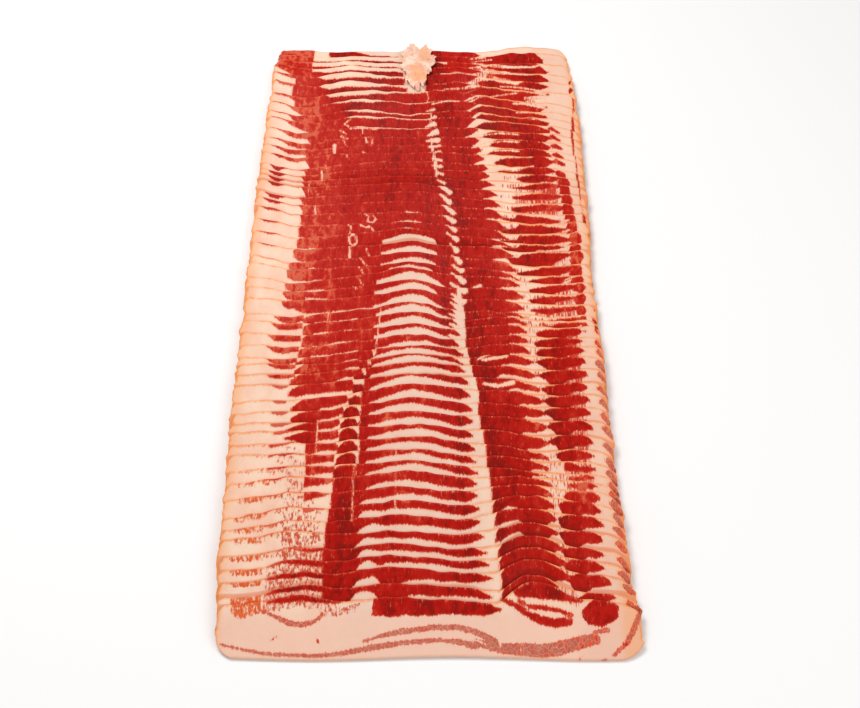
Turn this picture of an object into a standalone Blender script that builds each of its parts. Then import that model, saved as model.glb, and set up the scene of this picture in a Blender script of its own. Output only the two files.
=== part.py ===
"""A side of raw streaky bacon, sliced and fanned out as one shingled block of rashers.

The rashers lie in the order in which they were cut. Each one laps over the one behind it: its lean
edge shows as a narrow strip on top, and its rind edge comes down to the table. The nearest rasher
lies on top of all, so its whole face shows. Units are metres, +Z is up and the front is -Y.
"""

import math
import random

import bmesh
import bpy

# Driving sizes of the block
RASHERS = 54
PITCH = 0.00946  # step from one lean edge to the next
WIDTH = 0.0345  # of a rasher, from its lean edge to its rind edge
THICKNESS = 0.0020
CLEARANCE = 0.00056  # air between two rashers, measured upwards
END_SCATTER = 0.0010  # how unevenly the ends of the rashers line up
EDGE_SCATTER = 0.0014  # how unevenly their lean edges are spaced
SEED = 11

# Where the two ends of the rashers lie, from the backmost rasher (0) to the nearest (1)
LEFT_ENDS = ((0.0, -0.1215), (0.08, -0.1245), (0.3, -0.127), (0.65, -0.128), (0.9, -0.126), (1.0, -0.1235))
RIGHT_ENDS = ((0.0, 0.1205), (0.1, 0.1235), (0.3, 0.1235), (0.48, 0.1215), (0.75, 0.1235), (0.93, 0.1255), (1.0, 0.1300))

# Rounded corners: how far a corner cuts into the length, and how much of the width it takes
LEAN_CORNER_LEFT = 0.0050
LEAN_CORNER_RIGHT = 0.0095
RIND_CORNER_LEFT = 0.0120
RIND_CORNER_RIGHT = 0.0150
LEAN_CORNER_SHARE = 0.24
RIND_CORNER_SHARE = 0.34

# How unevenly the rashers are spread: how far each place is pushed towards the front, at stages from the
# backmost lean edge (0) to the nearest one (1) and on to the nearest rind edge
RIND_STAGE = 1.07
CROWDING = ((0.0, 0.0), (0.20, 0.0105), (0.25, 0.0105), (0.39, 0.0026), (0.55, 0.0105), (0.63, 0.0105),
            (0.79, 0.0055), (0.90, 0.0080), (1.0, 0.0040), (RIND_STAGE, 0.0))

# How the lean edges bend towards the front (positive) or the back, at the same stages
RIGHT_SIDE = ((0.0, -0.005), (0.08, 0.0103), (0.15, 0.0115), (0.27, 0.0055), (0.395, 0.0094), (0.55, 0.0065),
              (0.68, 0.0069), (0.775, 0.0025), (0.87, 0.0029), (0.95, -0.0005), (RIND_STAGE, 0.0))
LEFT_END = ((0.0, 0.0), (0.08, -0.0050), (0.34, -0.0045), (0.46, -0.0038), (0.68, 0.0009), (0.87, 0.0028),
            (1.0, 0.0009), (RIND_STAGE, 0.0))
LEFT_STEP = ((0.0, 0.0), (0.08, 0.0020), (0.34, 0.0032), (0.40, 0.0048), (0.55, 0.0023), (0.775, 0.0),
             (0.87, -0.0048), (1.0, -0.0049), (RIND_STAGE, 0.0))
LEFT_FALL = ((0.0, 0.0), (0.08, -0.0040), (0.15, -0.0070), (0.34, -0.0036), (0.40, -0.0018), (0.46, -0.0060),
             (0.68, -0.0055), (0.87, -0.0006), (RIND_STAGE, 0.0))
CENTRE_ARCH = ((0.0, 0.0), (0.10, 0.0050), (0.21, 0.0007), (0.34, -0.0028), (0.46, -0.0054), (0.55, -0.0066),
               (0.775, -0.0035), (0.95, -0.0022), (RIND_STAGE, 0.0))
DARK_MUSCLE = ((0.0, 0.0), (0.15, -0.0036), (0.27, -0.0014), (0.46, -0.0040), (0.68, -0.0031), (0.87, -0.0026),
               (0.95, 0.0006), (RIND_STAGE, 0.0))
CURLED_LUMPS = ((0.0, 0.0), (0.68, 0.0), (0.775, 0.0019), (0.87, -0.0045), (0.95, -0.0073), (1.0, -0.0065),
                (RIND_STAGE, 0.0))
RIGHT_RIM = ((0.0, 0.0073), (0.27, 0.0076), (0.395, -0.0014), (0.55, 0.0), (0.775, 0.0066), (0.95, 0.0066),
             (RIND_STAGE, 0.0))

# Where along the rashers those bends lie: a ramp runs between two places, a hump has a middle and a half width
RIGHT_SIDE_RAMP = (-0.010, 0.075)
LEFT_END_RAMP = (-0.108, -0.122)
LEFT_STEP_RAMP = (-0.110, -0.096)
LEFT_FALL_RAMP = (-0.090, -0.035)
ARCH_HUMP = (-0.008, 0.020)
DARK_MUSCLE_HUMP = (0.045, 0.014)
LUMP_HUMP = (0.068, 0.014)
RIGHT_RIM_RAMP = (0.104, 0.124)
SWELLING_HUMP = (0.062, 0.026)

# By what share the muscles swell the block upwards
SWELLING = ((0.0, 0.0), (0.35, 0.02), (0.7, 0.15), (0.9, 0.22), (1.0, 0.30), (RIND_STAGE, 0.0))
RIND_WAVE = 0.0022
RIND_WAVE_LENGTH = 0.165
RIND_WAVE_START = 0.017

# Mesh: where the lines across the rashers stand, closer where the block is wavy
GRID_LINES = (-0.110, -0.096, -0.063, -0.035, -0.021, -0.008, 0.010, 0.028, 0.045, 0.057, 0.068, 0.082, 0.106)
NEAREST_ROWS = 6

# The flap of soft fat that lies on the backmost lean edges
FLAP_CENTRE = (-0.0060, 0.0290)  # across, and from the backmost lean edge towards the front
FLAP_RADII = (0.0150, 0.0320, 0.0016)
FLAP_LUMPINESS = 0.12
FLAP_LUMPS = 5

LEAN_AND_FAT = (0.62, 0.16, 0.12, 1.0)
SOFT_FAT = (0.90, 0.62, 0.48, 1.0)
MOIST = 0.38


def clear_scene():
    for obj in list(bpy.data.objects):
        bpy.data.objects.remove(obj)


def material(name, colour, roughness):
    made = bpy.data.materials.new(name)
    made.use_nodes = True
    surface = made.node_tree.nodes["Principled BSDF"]
    surface.inputs["Base Color"].default_value = colour
    surface.inputs["Roughness"].default_value = roughness
    surface.inputs["Metallic"].default_value = 0.0
    made.diffuse_color = colour
    return made


def along(stops, share):
    """The value between two stops of a list of (share, value), eased so that the line has no kinks."""
    for (start, low), (end, high) in zip(stops, stops[1:]):
        if share <= end:
            t = max(0.0, (share - start) / (end - start))
            return low + (high - low) * t * t * (3 - 2 * t)
    return stops[-1][1]


def layer_rise():
    """How much higher each rasher lies than the one under it, so that their faces just clear."""
    rise = THICKNESS
    for _ in range(8):
        rise = THICKNESS * math.hypot(1.0, rise / PITCH) + CLEARANCE
    return rise


RISE = layer_rise()
BLOCK_LENGTH = (RASHERS - 1) * PITCH + WIDTH
BACKMOST_LEAN_EDGE = BLOCK_LENGTH / 2
BACKMOST_RIND_EDGE = BACKMOST_LEAN_EDGE - WIDTH


def stage(y):
    """0 at the backmost lean edge, 1 at the lean edge of the nearest rasher."""
    return max(0.0, (BACKMOST_LEAN_EDGE - y) / ((RASHERS - 1) * PITCH))


def ramp(x, ends):
    """0 at the first end and beyond it, 1 at the second end and beyond it, eased."""
    t = min(1.0, max(0.0, (x - ends[0]) / (ends[1] - ends[0])))
    return t * t * (3 - 2 * t)


def hump(x, place):
    return math.exp(-(((x - place[0]) / place[1]) ** 2))


def bend(x, y):
    """How far the block is pushed towards the front at this point."""
    here = stage(y)
    return (along(CROWDING, here)
            + along(RIGHT_SIDE, here) * ramp(x, RIGHT_SIDE_RAMP)
            + along(LEFT_END, here) * ramp(x, LEFT_END_RAMP)
            + along(LEFT_STEP, here) * ramp(x, LEFT_STEP_RAMP)
            + along(LEFT_FALL, here) * ramp(x, LEFT_FALL_RAMP)
            + along(CENTRE_ARCH, here) * hump(x, ARCH_HUMP)
            + along(DARK_MUSCLE, here) * hump(x, DARK_MUSCLE_HUMP)
            + along(CURLED_LUMPS, here) * hump(x, LUMP_HUMP)
            + along(RIGHT_RIM, here) * ramp(x, RIGHT_RIM_RAMP))


def swelling(x, y):
    """By what share the thick muscle on the right lifts the rashers."""
    return along(SWELLING, stage(y)) * hump(x, SWELLING_HUMP)


def layers_below(index, y):
    """How many rashers lie under this one at y: none at its rind edge, and up to four at its lean edge."""
    started = max(0.0, (BACKMOST_RIND_EDGE - y) / PITCH)
    return max(0.0, index - started)


def crest_height(y):
    """No lean edge rises above this height at y, where the block isn't swollen."""
    behind_last_rind = (BACKMOST_RIND_EDGE + WIDTH + EDGE_SCATTER - y) / PITCH
    layers = max(0.0, min(behind_last_rind, (WIDTH + EDGE_SCATTER) / PITCH))
    return THICKNESS + RISE * layers


def corner_cut(share, lean_cut, rind_cut):
    """How much shorter one end is at this share of the width, 0 at the lean edge and 1 at the rind edge."""
    if share < LEAN_CORNER_SHARE:
        t = 1 - share / LEAN_CORNER_SHARE
        return lean_cut * (1 - math.sqrt(max(0.0, 1 - t * t)))
    if share > 1 - RIND_CORNER_SHARE:
        t = 1 - (1 - share) / RIND_CORNER_SHARE
        return rind_cut * (1 - math.sqrt(max(0.0, 1 - t * t)))
    return 0.0


def halved(lines):
    """The same lines with one more in the middle of each gap."""
    middles = [(low + high) / 2 for low, high in zip(lines, lines[1:])]
    return sorted(list(lines) + middles)


def rind_wave(x):
    """How far the wavy rind edge falls short of the full width."""
    turn = 2 * math.pi * (x - RIND_WAVE_START) / RIND_WAVE_LENGTH
    return RIND_WAVE * (1 + math.cos(turn)) / 2


class Rasher:
    """The outline and the lie of one rasher. Its index counts from the back."""

    def __init__(self, index, draw):
        self.index = index
        share = index / (RASHERS - 1)
        self.left = along(LEFT_ENDS, share) + draw.uniform(-END_SCATTER, END_SCATTER)
        self.right = along(RIGHT_ENDS, share) + draw.uniform(-END_SCATTER, END_SCATTER)
        self.width = WIDTH + draw.uniform(-EDGE_SCATTER, EDGE_SCATTER)
        self.rind_edge = BACKMOST_RIND_EDGE - index * PITCH
        self.nearest = index == RASHERS - 1

    def rows(self):
        """Shares of the width where the grid has a line, with one where the rasher lifts off the table."""
        if self.nearest:
            return [row / NEAREST_ROWS for row in range(NEAREST_ROWS + 1)]
        rows = [0.0, LEAN_CORNER_SHARE * 0.8, 1 - RIND_CORNER_SHARE * 0.6, 1.0]
        lift = 1 - (BACKMOST_RIND_EDGE - self.rind_edge) / self.width
        if 0.0 < lift < 1.0:
            rows = sorted([row for row in rows if abs(row - lift) > 0.09] + [lift])
        return rows

    def point(self, column, lines, across):
        """The middle of the rasher's thickness at one line across it and one share of its width."""
        left_end = self.left + corner_cut(across, LEAN_CORNER_LEFT, RIND_CORNER_LEFT)
        right_end = self.right - corner_cut(across, LEAN_CORNER_RIGHT, RIND_CORNER_RIGHT)
        if column == 0:
            x = left_end
        elif column > len(lines):
            x = right_end
        else:
            x = min(max(lines[column - 1], left_end + THICKNESS), right_end - THICKNESS)
        y = self.rind_edge + self.width * (1 - across) + rind_wave(x) * across
        height = RISE * layers_below(self.index, y) * (1 + swelling(x, y))
        return (x, y - bend(x, y), THICKNESS / 2 + height)

    def build(self, collection, surface):
        lines = halved(GRID_LINES) if self.nearest else GRID_LINES
        columns = len(lines) + 1
        rows = self.rows()
        shape = bmesh.new()
        bmesh.ops.create_grid(shape, x_segments=columns, y_segments=len(rows) - 1, size=0.5)
        for vertex in shape.verts:
            column = round((vertex.co.x + 0.5) * columns)
            row = round((0.5 - vertex.co.y) * (len(rows) - 1))
            vertex.co = self.point(column, lines, rows[row])
        bmesh.ops.recalc_face_normals(shape, faces=shape.faces)
        mesh = bpy.data.meshes.new(f"rasher_{self.index + 1:02d}")
        shape.to_mesh(mesh)
        shape.free()
        mesh.materials.append(surface)
        rasher = bpy.data.objects.new(mesh.name, mesh)
        collection.objects.link(rasher)
        thick = rasher.modifiers.new("Thickness", "SOLIDIFY")
        thick.thickness = THICKNESS
        thick.offset = 0.0
        return rasher


def build_flap(collection, surface):
    """A flattened, lumpy drop of soft fat that lies across the backmost lean edges."""
    across, forward = FLAP_CENTRE
    radius_x, radius_y, radius_z = FLAP_RADII
    shape = bmesh.new()
    bmesh.ops.create_uvsphere(shape, u_segments=20, v_segments=7, radius=1.0)
    for vertex in shape.verts:
        turn = math.atan2(vertex.co.y, vertex.co.x)
        lump = 1 + FLAP_LUMPINESS * math.sin(FLAP_LUMPS * turn) * math.hypot(vertex.co.x, vertex.co.y)
        x = across + radius_x * lump * vertex.co.x
        y = BACKMOST_LEAN_EDGE - forward + radius_y * lump * vertex.co.y
        vertex.co = (x, y, crest_height(y) + CLEARANCE + radius_z * (1 + vertex.co.z))
    mesh = bpy.data.meshes.new("soft_fat_flap")
    shape.to_mesh(mesh)
    shape.free()
    mesh.shade_smooth()
    mesh.materials.append(surface)
    flap = bpy.data.objects.new(mesh.name, mesh)
    collection.objects.link(flap)
    return flap


def centre_on_origin(pieces, holder):
    """Moves the holder so that the block stands centred over the origin."""
    bpy.context.view_layer.update()
    graph = bpy.context.evaluated_depsgraph_get()
    corners = []
    for piece in pieces:
        piece.parent = holder
        corners += [tuple(corner) for corner in piece.evaluated_get(graph).bound_box]
    lows = [min(corner[axis] for corner in corners) for axis in range(3)]
    highs = [max(corner[axis] for corner in corners) for axis in range(3)]
    holder.location = (-(lows[0] + highs[0]) / 2, -(lows[1] + highs[1]) / 2, -lows[2])


def main():
    clear_scene()
    collection = bpy.data.collections.new("Shingled bacon rashers")
    bpy.context.scene.collection.children.link(collection)
    holder = bpy.data.objects.new("block", None)
    collection.objects.link(holder)
    meat = material("streaky_bacon", LEAN_AND_FAT, MOIST)
    fat = material("soft_fat", SOFT_FAT, MOIST)
    draw = random.Random(SEED)
    pieces = [Rasher(index, draw).build(collection, meat) for index in range(RASHERS)]
    pieces.append(build_flap(collection, fat))
    centre_on_origin(pieces, holder)


main()
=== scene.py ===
"""The looks of a sliced side of raw streaky bacon, fanned out as one shingled block of rashers.

Every rasher is one closed slice on a fine grid. It carries maps of where its lean, its fat and its
streaks lie, and one material turns the maps into moist, grained meat. A flap of soft fat lies on the
backmost rashers. Sizes are in millimetres, and a finished mesh is turned into metres. x runs along the
rashers. A place in the block is counted from its back towards the front, and a depth is counted from a
rasher's own lean edge towards its rind.
"""

import math
import random
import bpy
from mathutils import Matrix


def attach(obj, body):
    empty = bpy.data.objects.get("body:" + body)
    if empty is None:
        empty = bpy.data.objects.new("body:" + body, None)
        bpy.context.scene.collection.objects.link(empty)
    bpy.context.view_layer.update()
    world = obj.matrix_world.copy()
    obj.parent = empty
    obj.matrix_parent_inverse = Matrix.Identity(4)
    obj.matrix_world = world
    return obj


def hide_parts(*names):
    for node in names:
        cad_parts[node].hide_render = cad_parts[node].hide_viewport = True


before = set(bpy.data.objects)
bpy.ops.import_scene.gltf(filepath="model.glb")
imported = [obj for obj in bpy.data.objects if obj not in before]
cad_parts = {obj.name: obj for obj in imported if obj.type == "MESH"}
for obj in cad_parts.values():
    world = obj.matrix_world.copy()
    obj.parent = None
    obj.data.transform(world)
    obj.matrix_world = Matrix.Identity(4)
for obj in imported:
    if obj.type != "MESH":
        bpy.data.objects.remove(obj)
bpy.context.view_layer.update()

from types import SimpleNamespace

import bmesh
import bpy
import numpy as np
from mathutils import Vector, noise

MM = 0.001

# The rashers, and how they lie: one PITCH and one RISE from each to the next
RASHERS = 54
LENGTH = 250.0
WIDTH = 34.5
THICKNESS = 2.0
SNUG = 1.03  # the slices fill the thin gaps that the solids keep between them
PITCH = 9.46
RISE = 2.6362
BLOCK_LENGTH = (RASHERS - 1) * PITCH + WIDTH
BACK = BLOCK_LENGTH / 2
BACKMOST_RIND = BACK - WIDTH
CENTRE = (-0.6572, -2.9643)  # the shift that brings the block's box to the middle
FIRST_PLACE = 3.0  # the place of the backmost lean edge
STAGE_LENGTH = (RASHERS - 1) * PITCH
RIND_STAGE = 1.07  # the stage of the nearest rind edge
RIND_WAVE = (2.2, 165.0, 17.0)  # its height, its length and where it starts
HALF_SPAN = 131.0  # the grid of lines across reaches past the ends of the longest rasher

# Where the lean edges lie, from the backmost rasher to the nearest, at three places across
EDGE_ACROSS = (-110.0, -10.0, 90.0)
LEAN_EDGES = (
    (3, 12.5, 22.5, 32.6, 43.5, 54, 68, 78.5, 88.5, 97, 108, 119, 127.5, 136, 148, 155, 161, 166.5,
     177, 184, 192.5, 203.5, 216, 226.5, 239, 246, 259, 267.5, 276.5, 290, 297, 307, 317.5, 327.5,
     333.5, 342, 350.5, 363, 372, 380.5, 387, 396.5, 404.5, 415, 424.5, 436, 448, 457, 464, 476, 485,
     493.5, 502.5, 508),
    (4, 14.5, 25.5, 35.5, 46, 57, 66, 78, 90.5, 97, 106.5, 116, 125, 133.5, 143, 151, 158.5, 165.5,
     173.5, 183.5, 194.5, 204.5, 212, 222.5, 232, 242, 248.5, 259.5, 268.5, 279.5, 288.5, 298.5, 308,
     317, 325, 332, 341, 350, 361, 371, 381, 390.5, 400, 408.5, 417, 428, 438, 448, 459, 468, 476, 484,
     494, 503.5),
    (-1, 9, 26, 41, 53, 64, 77, 87, 95, 103, 112, 120.5, 130, 138, 149, 157, 166, 176, 186.5,
     196.5, 206, 216.5, 227, 234, 246.5, 256, 263.5, 273, 283, 293, 298, 304, 313, 321, 330, 340, 350.5,
     360, 369.5, 379, 389.5, 400.5, 409, 418, 424, 430.5, 439, 448.5, 459, 469.5, 478, 487, 498.5, 503.5),
)

# How the rashers are crowded and spread along the block: stage, and the shift towards the front
DRIFT = (
    (0.0, 0.0), (0.075, 3.0), (0.13, 8.5), (0.21, 11.0), (0.265, 11.5), (0.34, 3.0), (0.38, 1.0),
    (0.43, 5.0), (0.49, 9.0), (0.57, 11.0), (0.62, 11.5), (0.69, 8.5), (0.79, 5.0), (0.87, 9.0),
    (0.95, 8.0), (1.0, 3.6), (RIND_STAGE, 0.0),
)

# How the lean edges bow towards the front (+) or the back (-): across, and for each stage
BOW_ACROSS = (-125, -110, -98, -85, -72, -60, -48, -35, -22, -10, 0, 12, 25, 45, 60, 72, 90, 105, 116, 125)
BOWS = (
    (0.000, (0, 0, 0, 2, 3, 2, 1, 1, 1, 0, -1, 0, 2, 2, 0, -4, -5, -3, 0, 5)),
    (0.075, (-6, 0, 3, 3, -1, -3, -1, 1, 2, 2, 1, -1, -2, 3, 5, 7, 9, 9, 12, 16)),
    (0.150, (-5, 0, 4, 3, 0, -3, -4, -2, 0, 2, 1, -1, -3, 0, 3, 5, 7, 8, 12, 16)),
    (0.210, (-5, 0, 4, 3, 0, -2, -3, -3, -3, -3, -3, -3, -2, -1, 1, 2, 3, 5, 9, 12)),
    (0.270, (-5, 0, 4, 2, 0, -1, -2, -2, -2, -2, -2, -2, -1, 0, 1, 2, 2, 4, 8, 11)),
    (0.340, (-5, 0, 4, 3, 2, 1, 0, -1, -3, -3, -2, 0, 3, 5, 7, 8, 9, 9, 10, 12)),
    (0.395, (-4, 0, 5, 5, 4, 4, 3, 2, 1, 1, 2, 4, 7, 8, 12, 13, 13, 13, 10, 12)),
    (0.455, (-4, 0, 4, 4, 2, 0, -1, -3, -6, -8, -6, -3, -1, 0, 4, 7, 7, 7, 5, 6)),
    (0.550, (-1, 0, 3, 2, 1, -1, -3, -5, -8, -10, -9, -4, -1, -2, 0, 2, 4, 3, 2, 4)),
    (0.680, (1, 0, 0, 0, -1, -2, -4, -6, -8, -10, -10, -8, -5, -3, -1, 3, 3, 2, 2, 6)),
    (0.775, (2, 0, 0, -1, 0, 0, -4, -3, -5, -6, -6, -4, -2, -2, 0, 2, 0, 0, 2, 8)),
    (0.870, (2, 0, -2, -6, -5, -4, -5, -7, -9, -9, -8, -6, -4, -6, -8, -6, -3, -2, 1, 6)),
    (0.950, (1, 0, -1.5, -6, -7, -5, -5, -7, -9, -8, -7, -6, -5, -6, -14, -14, -7, -6, -4, 2)),
    (1.000, (1, 0, -1.5, -5, -7, -5, -3, -3, -6, -5, -4, -4, -4, -2, -15, -16, -6, -5, -4, -1)),
    (RIND_STAGE, (0, 0, 0, 0, 0, 0, 0, 0, 0, 0, 0, 0, 0, 0, 0, 0, 0, 0, 0, 0)),
)
BOW_EASE = 3.0
BOW_EASE_REACH = 9

# The ends of the rashers, and the rounded corners of each rasher
LEFT_ENDS = ((0.0, -121.5), (0.08, -124.5), (0.3, -127), (0.65, -128), (0.9, -126), (1.0, -123.5))
RIGHT_ENDS = (
    (0.0, 120.5), (0.1, 123.5), (0.3, 123.5), (0.48, 121.5), (0.75, 123.5), (0.93, 125.5), (1.0, 130.0),
)
LEAN_CORNERS = (5.0, 9.5)
RIND_CORNERS = (12.0, 15.0)
LEAN_CORNER_SHARE = 0.24
RIND_CORNER_SHARE = 0.34
END_SCATTER = 0.9

# The uneven lines of the lean edge and of the ends: the longest wave, and how far the lines swing
EDGE_WAVE = 90.0
END_WAVE = 22.0
END_WAVES = 5
UNEVEN = 0.35
OTHER_END = 60.0  # how far along its uneven line the right end starts

# The thick muscle on the right swells the block
SWELLING = ((0.0, 0.0), (0.35, 0.02), (0.7, 0.15), (0.9, 0.22), (1.0, 0.30), (RIND_STAGE, 0.0))
SWELLING_HUMP = (62.0, 26.0)

# The grid of a slice: close lines at its rims, and wide steps where the next rasher hides it
RIM = (0.0, 0.15, 0.4, 0.75)
RIM_RADIUS = 0.95
RIM_LEAST = 0.14
COVERED_STEP = 1.15
FACE_STEPS = (0.62, 0.5)
COVERED_ROWS = np.concatenate([
    [0, 0.15, 0.4, 0.8, 1.3], np.arange(1.85, 12.2, 0.55), [13, 15, 19, 24, 29], [32, 33.6, 34.1, 34.35, 34.5],
]) / WIDTH

# Seeds of the random draws
RASHER_SEED = 700
EDGE_SEED = 40
END_SEED = 90
LEAN_SEED = 0
MOTTLE_SEED = 70000
MUSCLE_SEEDS = 1000

# Special depths in the tables of muscles
EDGE = -2.0  # a muscle whose top is the lean edge itself
FULL = 15.0  # a muscle that runs on under the next rasher
NO_NEXT = 40.0  # the nearest rasher has no other on it
HIDDEN_STRIP = 0.9  # how much of a thin strip the next rasher's edge hides from the front
THICK_STRIP = 5.0  # a strip as high as this is hidden no more
STRIP_EASE = 2.0
OUTSIDE = -50.0
RUN_OUT = 4.0  # how far a muscle goes on past its last cut
POINT_SCATTER = 0.8
STROKE_REACH = 3.0
MOTTLE_EASE = 1.5

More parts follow.
